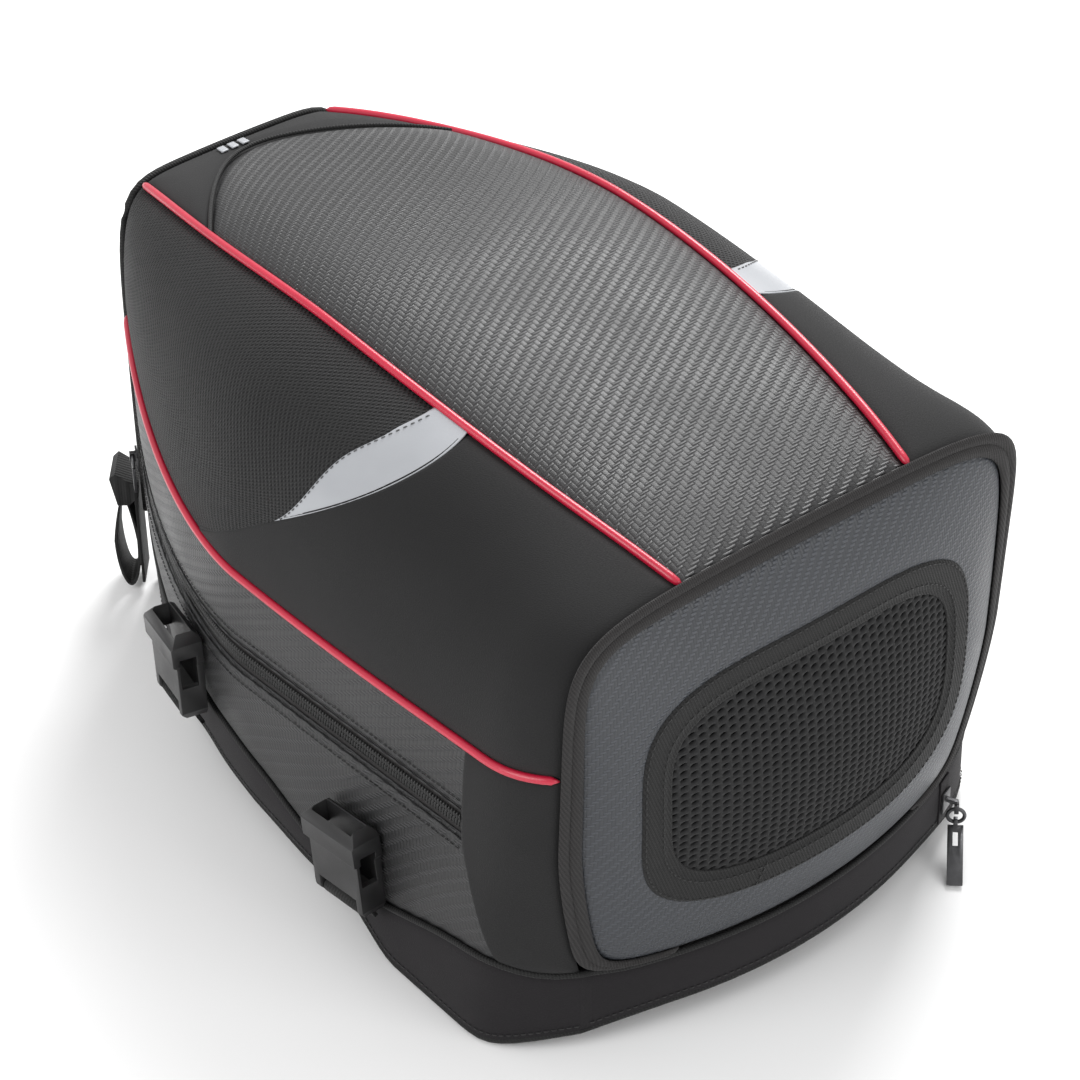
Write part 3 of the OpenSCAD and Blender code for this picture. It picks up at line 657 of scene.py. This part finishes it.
def stitch_mesh(lines, pitch=3.3, length=2.3, width=0.32, height=0.3):
    """Short raised threads along each line of (point, normal)."""
    verts, faces = [], []
    for line in lines:
        for p, t, n in resample(line, pitch):
            s = t.cross(n).normalized()
            first = len(verts)
            for end, size in ((-0.5, 0.45), (-0.3, 1.0), (0.3, 1.0), (0.5, 0.45)):
                c = p + t * (end * length)
                drop = -0.35 if size < 1 else 0.0
                for a in (0, 60, 120, 180, 240, 300):
                    ca, sa = math.cos(math.radians(a)), math.sin(math.radians(a))
                    verts.append(c + s * (ca * width * size) + n * (sa * height * size + drop))
            for ring in range(3):
                for q in range(6):
                    a, b, e = first + ring * 6, first + ring * 6 + 6, (q + 1) % 6
                    faces.append((a + q, a + e, b + e, b + q))
            faces += [tuple(first + q for q in range(5, -1, -1)), tuple(first + 18 + q for q in range(6))]
    return verts, faces


def stitches(name, lines, material="thread", mirror=False, body="bag", slot="grosgrain", **sizes):
    verts, faces = stitch_mesh(lines, **sizes)
    for side, sign in SIDES if mirror else (("", 1),):
        v, f = mirrored(verts, faces, sign)
        add_piece(name + ("_" + side if side else ""), v, f, None, material, body)


def skin_line(f, count, up):
    """Line of (point, normal), raised by up, along f(t), which gives a point and one beside it."""
    line = []
    for i in range(count + 1):
        t = i / count
        p, q = f(t)
        ahead = f(min(1, t + 0.5 / count))[0] - f(max(0, t - 0.5 / count))[0]
        n = ahead.cross(q - p).normalized()
        if n.dot(p - BAG_CENTRE) < 0:
            n.negate()
        line.append((p + n * up, n))
    return line


def copy_of(node, material, bevel=0.0, angle=30):
    """A finished copy of a CAD node: the same shape with rounded edges."""
    source = frame["nodes"][node]
    mesh = source.data.copy()
    work = bmesh.new()
    work.from_mesh(mesh)
    bmesh.ops.remove_doubles(work, verts=work.verts, dist=2e-6)
    bmesh.ops.dissolve_limit(work, angle_limit=math.radians(1), verts=work.verts, edges=work.edges)
    work.to_mesh(mesh)
    work.free()
    mesh.materials.clear()
    mesh.materials.append(MATERIALS[material])
    for p in mesh.polygons:
        p.material_index = 0
    mesh.shade_smooth()
    piece = bpy.data.objects.new("finished_" + node, mesh)
    bpy.context.scene.collection.objects.link(piece)
    if bevel:
        mod = piece.modifiers.new("edges", "BEVEL")
        mod.width = bevel * MM
        mod.segments = 2
        mod.limit_method = "ANGLE"
        mod.angle_limit = math.radians(angle)
        mod.harden_normals = True
    body = next(b for b, members in frame["record"]["behaviour"]["bodies"].items() if node in members)
    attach(piece, body)
    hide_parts(node)
    return piece


# ---------- roof ----------
PIPING_R = 1.9
SEAM_K0, SEAM_K1 = -0.999, 0.985


def roof_panels():
    cloth("top_skin", lambda u, v: roof_pt(mix(-1, yoke_k(2 * v - 1), u), 2 * v - 1), (110, 60),
          "carbon_vinyl", ["top_panel"], pillow(2.6, 1.4, 4.0), thick=2)
    cloth("yoke_skin", lambda u, v: roof_pt(mix(yoke_k(2 * v - 1), 1, u), 2 * v - 1), (36, 60),
          "softshell", ["rear_yoke"], pillow(1.2, 1.4, 3.0), thick=2)
    path = [roof_pt(yoke_k(v), v) + Vector((0, 0, 1.1)) for v in [-1 + 2 * i / 80 for i in range(81)]]
    cord_piece("yoke_seam_cord", path, 1.0, "grosgrain", "grosgrain", ["yoke_cord"], sides=8)
    path = [side_pt(mix(SEAM_K0, SEAM_K1, i / 150), 1.0) + Vector((0, 0, 0.9)) for i in range(151)]
    cord_piece("top_red_piping", path, PIPING_R, "red_piping", "red_piping", ["piping_top"],
               mirror=True, taper=4)


# ---------- upper sides ----------
def upper_sides():
    cloth("mesh_side", lambda u, v: side_pt(mix(mesh_k(v) - 0.012, 1, u), v), (64, 50),
          "side_fabric", ["side_mesh"], pillow(1.6, 1.4, 3.0, (0, 1, 1, 1)), mirror=True)
    cloth("softshell_side", lambda u, v: side_pt(mix(-1, front_edge_k(v), u), v), (64, 50),
          "softshell", ["side_softshell"],
          lambda p, d: pillow(1.4, 1.4, 3.0, (1, 0, 1, 1))(p, d) + 0.5 - 0.9 * math.exp(-(d[1] / 1.2) ** 2),
          mirror=True)

    def swoosh(u, v):
        s = mix(0.3, 1.0, v)
        return side_pt(mix(front_edge_k(s) - 0.004, mesh_k(s), u), s)
    cloth("reflective_strip", swoosh, (16, 40), "silver_reflective", ["reflective"],
          lambda p, d: 1.3 - 1.2 * math.exp(-(min(d[1], d[3]) / 1.0) ** 2), thick=0.8, mirror=True)

    edge = [side_pt(front_edge_k(i / 80) + 0.001, i / 80) + Vector((-0.45, 0, 0.45)) for i in range(2, 79)]
    cord_piece("softshell_hem", edge, 0.8, "softshell", "softshell", [], mirror=True, taper=3, sides=8)

    def beside(t):
        s = mix(0.36, 0.96, t)
        return side_pt(mesh_k(s) - 0.016, s), side_pt(mesh_k(s) + 0.01, s)
    stitches("reflective_stitching", [skin_line(beside, 60, 1.5)], "grey_thread", True,
             slot="silver_reflective", pitch=3.4, length=2.0)
    path = [side_pt(mix(SEAM_K0, SEAM_K1, i / 150), 0.0) + Vector((-0.9, 0, 0)) for i in range(151)]
    cord_piece("lower_red_piping", path, PIPING_R, "red_piping", "red_piping", ["piping_lower"],
               mirror=True, taper=4)


# ---------- lower sides ----------
ZIP_K0, ZIP_K1 = -0.765, 0.9
FOLD_OFF, STITCH_OFF = 8.4, 13.4
COIL_PITCH = 0.9


def zip_edge(k, off):
    return wall_pt(k, zip_z(k) + off)


def lower_sides():
    def strip(u, v):
        k = mix(gusset_k(130) - 0.01, 1, u)
        return wall_pt(k, mix(zip_z(k) + ZIP_HALF, low_seam_z(k), v))
    cloth("pocket_strip_skin", strip, (120, 18), "carbon_vinyl", ["pocket_strip"],
          pillow(1.0, 1.5, 2.0, (0, 1, 1, 1), 0.25), mirror=True, turn_uv=True)

    def panel(u, v):
        k = mix(gusset_k(mix(50, 106, v)) - 0.012, 1, u)
        return wall_pt(k, mix(band_z(k), zip_z(k) - ZIP_HALF, v))
    cloth("pocket_panel_skin", panel, (120, 36), "carbon_vinyl", ["pocket_panel"],
          pillow(1.8, 1.5, 2.2, (0, 1, 1, 1), 0.5), mirror=True, turn_uv=True)

    def gusset(u, v):
        z = mix(50, low_seam_z(-0.9), v)
        k = mix(-1, gusset_k(z), u)
        return wall_pt(k, mix(band_z(k), low_seam_z(k), v))
    cloth("corner_gusset_skin", gusset, (36, 50), "softshell", ["corner_gusset"],
          lambda p, d: pillow(1.0, 1.5, 2.4, (1, 0, 1, 1))(p, d) + 0.7 - 1.1 * math.exp(-(d[1] / 1.2) ** 2),
          mirror=True)

    def tape(u, v):
        k = mix(ZIP_K0 - 0.01, ZIP_K1 + 0.04, u)
        return wall_pt(k, zip_z(k) + mix(-ZIP_HALF - 1, ZIP_HALF + 1, v))
    cloth("pocket_zip_tape", tape, (120, 12), "zip_tape", ["pocket_zip"], lambda p, d: -2.2,
          mirror=True, turn_uv=True, thick=0.8)
    zip_teeth()
    for place, off in (("upper", FOLD_OFF), ("lower", -FOLD_OFF)):
        fold = [zip_edge(mix(-0.78, 0.97, i / 150), off) + Vector((-0.15, 0, 0)) for i in range(151)]
        cord_piece("pocket_fold_" + place, fold, 0.5, "carbon_vinyl", "carbon_vinyl", [], mirror=True,
                   sides=8, taper=3)
    lines = []
    for off, up in ((STITCH_OFF, 0.9), (-STITCH_OFF, 1.2)):
        def along(t):
            k = mix(gusset_k(105) + 0.006, 0.985, t)
            return zip_edge(k, off), zip_edge(k, off + 1)
        lines.append(skin_line(along, 90, up))
    stitches("pocket_topstitching", lines, mirror=True, slot="carbon_vinyl")


def zip_teeth():
    """Two interlocked rows of coil along the pocket zip."""
    verts, faces, line = [], [], []
    for i in range(201):
        k = mix(ZIP_K0, ZIP_K1, i / 200)
        a, b, c = zip_edge(k, 0), zip_edge(k, 1), zip_edge(k + 0.002, 0)
        n = (c - a).cross(b - a).normalized()
        line.append((a, n if n.x < 0 else -n))
    for index, (p, t, n) in enumerate(resample(line, COIL_PITCH)):
        s = t.cross(n).normalized() * (1 if index % 2 else -1)
        first = len(verts)
        for end, wide, tall in ((-0.7, 0.34, 0.2), (0.2, 0.62, 1.1), (2.6, 0.62, 1.2), (3.6, 0.4, 0.2)):
            c = p + s * end - n * 1.5
            for a in (0, 45, 90, 135, 180):
                ca, sa = math.cos(math.radians(a)), math.sin(math.radians(a))
                verts.append(c + t * (ca * wide + 0.25 * end / 3) + n * sa * tall)
        for ring in range(3):
            for q in range(4):
                a, b = first + ring * 5, first + ring * 5 + 5
                faces.append((a + q, b + q, b + q + 1, a + q + 1))
        faces += [tuple(first + q for q in range(5)), tuple(first + 15 + q for q in range(4, -1, -1))]
    for side, sign in SIDES:
        v, f = mirrored(verts, faces, sign)
        add_piece("pocket_zip_coil_" + side, v, f, None, "coil", "bag")


# ---------- base ----------
SIDE_STEPS, FRONT_STEPS, REAR_STEPS = 70, 48, 24


def base_loop(f, drop=0.0):
    """Loop round the base band at share f of its height: left side to the rear, rear, right side, front."""
    left = []
    for i in range(SIDE_STEPS + 1):
        k = -1 + 2 * i / SIDE_STEPS - 0.06 * math.sin(math.pi * i / SIDE_STEPS)
        left.append(wall_pt(k, mix(hem_z(k), band_z(k), f) - drop))
    w, d = left[-1].x, left[0].x
    back = []
    for i in range(1, REAR_STEPS):
        v, z = 1 - 2 * i / REAR_STEPS, mix(0, band_z(1), f) - drop
        back.append(Vector((w * v, rear_y(w * v, z), z)))
    front = []
    for i in range(1, FRONT_STEPS):
        v = 1 - 2 * i / FRONT_STEPS
        top = mix(band_z(-1), DOOR_Z0 - 1, ease((1 - abs(v)) / 0.2))
        front.append(Vector((-d * v, door_y(d * v * 0.999, DOOR_Z0), mix(front_hem(v), top, f) - drop)))
    return left + back + [Vector((-p.x, p.y, p.z)) for p in reversed(left)] + front


def loop_out(loop, i):
    a = loop[(i + 1) % len(loop)] - loop[i - 1]
    return Vector((-a.y, a.x, 0)).normalized()


def pushed(loop, out, up=0.0):
    return [p + loop_out(loop, i) * out + Vector((0, 0, up)) for i, p in enumerate(loop)]


def base_pieces():
    rows = 14
    loops = [base_loop(crowd(r / rows)) for r in range(rows + 1)]
    count = len(loops[0])
    verts, uvs, faces, run = [], [], [], 0.0
    for i in range(count):
        if i:
            run += (loops[0][i] - loops[0][i - 1]).length
        tall = (loops[rows][i] - loops[0][i]).length
        for r in range(rows + 1):
            p = loops[r][i]
            top, low = tall * (1 - crowd(r / rows)), tall * crowd(r / rows)
            h = 0.9 * (1 - math.exp(-min(top, low) / 6)) - 1.2 * math.exp(-(top / 2.0) ** 2)
            h += 0.5 * (1 - math.exp(-min(top, low) / 8)) * (soft_noise(p, 40) + 0.5 * soft_noise(p, 17))
            verts.append(p + loop_out(loops[r], i) * h)
            uvs.append((run * MM, p.z * MM))
    m = rows + 1
    for i in range(count):
        for r in range(rows):
            a, b = i * m + r, (i + 1) % count * m + r
            faces.append((a, a + 1, b + 1, b))
    add_piece("base_band_skin", verts, faces, uvs, "band_softshell", "bag", ["base_band"], 2)
    seam = pushed(base_loop(1, 0.2), 0.4)
    cord_piece("base_seam_cord", seam, 1.3, "grosgrain", "grosgrain", ["base_piping"], sides=10, closed=True)
    hem = pushed(base_loop(0.0), -0.6, 1.5)
    cord_piece("base_hem_cord", hem, 1.4, "grosgrain", "grosgrain", [], sides=10, closed=True)
    line = base_loop(0.0, -5.5)
    line = [(p + loop_out(line, i) * 1.0, loop_out(line, i)) for i, p in enumerate(line)]
    stitches("base_hem_stitching", [line], slot="softshell")
    for node in ("base_panel", "base_board", "base_binding"):
        copy_of(node, "dark_solid", 0.3)


# ---------- rear ----------
def rear_pieces():
    def panel(u, v):
        x = mix(-1, 1, u) * REAR_W * 0.985
        n, h = squareness(1), roof(1) - WAIST_Z
        top = WAIST_Z + h * (1 - (abs(x) / REAR_W) ** n) ** (1 / n)
        z = mix(band_z(1), top, v)
        return Vector((x, rear_y(x, z), z))
    cloth("rear_skin", panel, (60, 70), "rear_fabric", ["rear_panel"],
          pillow(2.2, 1.6, 3.0), thick=2)
    path = [arch_pt(1, mix(-22, 202, i / 120)) + Vector((0, 0.6, 0)) for i in range(121)]
    cord_piece("rear_bound_seam", path, 1.8, "grosgrain", "grosgrain", ["rear_binding"], sides=10)
    for side, _ in SIDES:
        copy_of("rear_strap_" + side, "webbing", 0.35, 40)

    def inner(t):
        a = mix(-8, 188, t)
        p = arch_pt(1, a)
        c = Vector((0, p.y, 150))
        q = p + (c - p).normalized() * 6
        q.y = rear_y(q.x, q.z)
        return q, q + (c - p).normalized()
    stitches("rear_stitching", [skin_line(inner, 120, 1.4)], slot="rear_fabric")


def yoke_bars():
    """Three plain slanted bars on the yoke."""
    bars, faces = [], []
    for b in (-1, 0, 1):
        for i in range(5):
            for j in range(5):
                k = mix(0.925, 0.965, i / 4)
                p = roof_pt(k, -0.14 + b * 0.11 + 0.07 * j / 4 + 0.03 * (i / 4 - 0.5))
                bars.append(p + Vector((0, 0, 1.7)))
        first = (b + 1) * 25
        faces += [(first + i * 5 + j + 1, first + i * 5 + 6 + j, first + i * 5 + 5 + j, first + i * 5 + j)
                  for i in range(4) for j in range(4)]
    uvs = [(p[0] * MM, p[1] * MM) for p in bars]
    add_piece("yoke_patch_bars", bars, faces, uvs, "silver_reflective", "bag",
              ["yoke_patch"], 0.7)


# ---------- door ----------
DOOR_ZIP_SPAN = (233 / 360, -53 / 360)
DOOR_TAPE_H = 1.5


def ring_piece(name, outline, rows, steps, material, nodes, body, thick=1.4, span=(0, 1)):
    """Sheet round the door: outline(angle, row) gives x, z and the height over the door."""
    closed = span == (0, 1)
    count = steps if closed else steps + 1
    verts, uvs, faces = [], [], []
    for i in range(count):
        a = rim_a(mix(*span, i / steps))
        for r in range(rows + 1):
            x, z, h = outline(a, r / rows)
            verts.append(on_door(x, z, h))
            uvs.append((x * MM, z * MM))
    m = rows + 1
    for i in range(steps):
        for r in range(rows):
            p, q = i * m + r, (i + 1) % count * m + r
            faces.append((p, q, q + 1, p + 1))
    return add_piece(name, verts, faces, uvs, material, body, nodes, thick)


def binding_height(by):
    """Section of the window binding: a rolled outer edge that falls away to the mesh."""
    return 2.0 * ease(by / 1.6) - 1.1 * ease((by - 2) / 8) - 1.6 * ease((by - 9.5) / 4.5) + 0.1


def panel_height(x, z, f, wide):
    """Section of the door's panel: puffed, sunk at the zip and a little at the window."""
    d0, d1 = f * wide, (1 - f) * wide
    h = 2.4 * (1 - math.exp(-d0 / 9)) - 1.6 * math.exp(-(d0 / 2) ** 2)
    h -= 0.9 * math.exp(-d1 / 5)
    uneven = soft_noise((x, 0, z), 60) + 0.5 * soft_noise((x, 9, z), 26)
    return h + 0.45 * (1 - math.exp(-min(d0, d1) / 12)) * uneven


def door_pieces():
    def panel(a, f):
        f = crowd(f)
        (x0, z0), (x1, z1) = door_rim(a, 6.9), window_rim(a, 1.0)
        x, z = mix(x0, x1, f), mix(z0, z1, f)
        return x, z, panel_height(x, z, f, math.hypot(x1 - x0, z1 - z0))
    skin = ring_piece("door_skin", panel, 22, 200, "slate_vinyl", ["door_panel"], BENDS, 1.8)

    def lining(a, f):
        x0, z0 = door_rim(a, 7.5)
        x1, z1 = window_rim(a, 9)
        return mix(x0, x1, f), mix(z0, z1, f), -1.2 - 1.4 * ease(f * 5)
    back = ring_piece("door_lining", lining, 6, 120, "lining", [], BENDS, 0.8)

    def tape(by0, by1):
        def at(a, f):
            x, z = door_rim(a, mix(by0, by1, f))
            return x, z, DOOR_TAPE_H * math.sin(math.pi * mix(0.12, 0.88, f)) - 0.6
        return at
    ring_piece("door_zip_bag_half", tape(-0.6, 3.1), 6, 180, "zip_tape", ["door_zip_frame"],
               "bag", 1.2, DOOR_ZIP_SPAN)
    half = ring_piece("door_zip_door_half", tape(3.3, 7.8), 6, 180, "zip_tape",
                      ["door_zip_tape"], BENDS, 1.2, DOOR_ZIP_SPAN)
    for piece in (skin, back, half):
        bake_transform(piece)

    def binding(a, f):
        by = mix(-0.3, WINDOW_TAPE + 1, f)
        x, z = window_rim(a, by)
        return x, z, binding_height(by)
    ring_piece("window_binding_tape", binding, 18, 200, "grosgrain", ["window_binding"],
               "door", 1.2)
    lines = []
    for by in (2.2, 10.5):
        line = []
        for i in range(181):
            x, z = window_rim(rim_a(i / 180), by)
            line.append((on_door(x, z, binding_height(by) + 0.15), Vector((0, -1, 0))))
        lines.append(line)
    join = []
    for i in range(13):
        by = mix(1.2, WINDOW_TAPE - 1, i / 12)
        x, z = window_rim(238, by)
        join.append((on_door(x, z, binding_height(by) + 0.2), Vector((0, -1, 0))))
    lines.append(join)
    stitches("window_stitching", lines, body="door")
    window_net()


NET_PITCH = (4.8, 3.8)
NET_RIM = ((1, 0), (1, 1), (0, 1), (-1, 1), (-1, 0), (-1, -1), (0, -1), (1, -1))
HOLE = (1.75, 0.85)
HOLE_TURN = math.radians(14)


def window_net():
    """Spacer mesh: columns of cells with an oval hole each, every second column half a step lower."""
    verts, faces, uvs, known = [], [], [], {}
    px, pz = NET_PITCH

    def vertex(x, z, h):
        key = (round(x, 2), round(z, 2), round(h, 2))
        if key not in known:
            known[key] = len(verts)
            verts.append(on_door(x, z, h))
            uvs.append((x * MM, z * MM))
        return known[key]
    w, h = WINDOW_W - WINDOW_TAPE + 3, WINDOW_H - WINDOW_TAPE + 3
    columns, rows = math.ceil(w / px), math.ceil(h / pz) + 1
    for c in range(-columns, columns + 1):
        for r in range(-rows, rows + 1):
            x, z = c * px, (r + 0.5 * (c % 2)) * pz
            if (abs(x) / w) ** WINDOW_N + (abs(z) / h) ** WINDOW_N > 1:
                continue
            z += WINDOW_Z
            border, lip, deep = [], [], []
            for q, (a, b) in enumerate(NET_RIM):
                border.append(vertex(x + a * px / 2, z + b * pz / 2, -1.1 if q % 4 == 2 else -1.3))
                t = math.tau * q / 8
                ex, ez = HOLE[0] * math.cos(t), HOLE[1] * math.sin(t)
                ox = ex * math.cos(HOLE_TURN) - ez * math.sin(HOLE_TURN)
                oz = ex * math.sin(HOLE_TURN) + ez * math.cos(HOLE_TURN)
                lip.append(vertex(x + ox * 1.15, z + oz * 1.2, -1.5))
                deep.append(vertex(x + ox, z + oz, -2.6))
            for q in range(8):
                e = (q + 1) % 8
                faces.append((border[q], lip[q], lip[e], border[e]))
                faces.append((lip[q], deep[q], deep[e], lip[e]))
    add_piece("window_spacer_mesh", verts, faces, uvs, "spacer_mesh", "door",
              ["window_mesh"])

    # Painted shade: a dark sheet just behind the mesh stands in for the shaded inside of the bag, seen
    # through the holes.
    def behind(a, f):
        x, z = window_rim(a, mix(8, WINDOW_H - 0.1, f))
        return x, z, -3.4
    ring_piece("window_painted_shade_sheet", behind, 10, 90, "side_fabric", [], "door", 0.6)


# ---------- fittings and the inside ----------
def fittings():
    for side, _ in SIDES:
        for place in ("front", "rear"):
            copy_of(f"buckle_{side}_{place}", "moulded_plastic", 0.7)
            copy_of(f"strap_tab_{side}_{place}", "webbing", 0.3, 40)
        copy_of("pocket_slider_" + side, "gunmetal", 0.25)
        copy_of("pocket_pull_" + side, "gunmetal", 0.25)
    copy_of("door_slider", "gunmetal", 0.3)
    copy_of("door_pull", "gunmetal")
    copy_of("door_pull_tab", "gunmetal", 0.4)
    copy_of("door_zip_tail", "dark_solid", 0.3)


LINING_LIFT = -4.5


def inside():
    """The lining behind the skin, the foam, the padded floor and the pocket linings."""
    def shell(u, v):
        k = mix(-0.985, 0.99, u)
        return arch_pt(k, mix(178, 2, v))
    cloth("shell_lining", shell, (40, 60), "lining", [], lambda p, d: LINING_LIFT, thick=0.8,
          crowds=EVEN)

    def low(u, v):
        k = mix(-0.985, 0.99, u)
        return wall_pt(k, mix(14, 76, v))
    cloth("wall_lining", low, (40, 8), "lining", [], lambda p, d: LINING_LIFT, thick=0.8,
          mirror=True, crowds=EVEN)
    for side, _ in SIDES:
        copy_of("pocket_bag_" + side, "lining_solid")
        copy_of("side_foam_" + side, "lining_solid", 0.8)
    copy_of("top_foam", "lining_solid", 0.8)
    pad = copy_of("floor_pad", "lining_solid", 3.0, 40)


# ---------- studio: metres and watts ----------
FLOOR_HALF, FLOOR_Z = 30, -0.0005
WORLD_LIGHT = 0.72
LAMP_AIM = Vector((0, 0, 0.12))
LAMPS = (("key", (1.1, 0.7, 1.5), 0.9, 42),
         ("left", (-1.7, 0.1, 1.1), 1.1, 17),
         ("front", (0.5, -1.9, 1.0), 1.1, 12))


def studio():
    mesh = bpy.data.meshes.new("floor")
    corners = [(x * FLOOR_HALF, y * FLOOR_HALF, 0) for x, y in ((-1, -1), (1, -1), (1, 1), (-1, 1))]
    mesh.from_pydata(corners, [], [(0, 1, 2, 3)])
    g = Graph("floor")
    g.bsdf.inputs["Base Color"].default_value = (0.93, 0.93, 0.93, 1)
    g.bsdf.inputs["Roughness"].default_value = 0.9
    g.bsdf.inputs["Specular IOR Level"].default_value = 0.1
    mesh.materials.append(g.mat)
    floor = bpy.data.objects.new("floor", mesh)
    bpy.context.scene.collection.objects.link(floor)
    floor.location.z = FLOOR_Z
    world = bpy.data.worlds.new("studio")
    world.use_nodes = True
    background = world.node_tree.nodes["Background"]
    background.inputs["Color"].default_value = (1, 1, 1, 1)
    background.inputs["Strength"].default_value = WORLD_LIGHT
    bpy.context.scene.world = world
    bpy.context.scene.view_settings.view_transform = "Standard"
    for name, at, size, power in LAMPS:
        data = bpy.data.lights.new(name, "AREA")
        data.size = size
        data.energy = power
        lamp = bpy.data.objects.new(name, data)
        bpy.context.scene.collection.objects.link(lamp)
        lamp.location = at
        lamp.rotation_euler = (LAMP_AIM - Vector(at)).to_track_quat("-Z", "Y").to_euler()


roof_panels()
upper_sides()
lower_sides()
base_pieces()
rear_pieces()
yoke_bars()
door_pieces()
fittings()
inside()
studio()
bpy.context.view_layer.update()
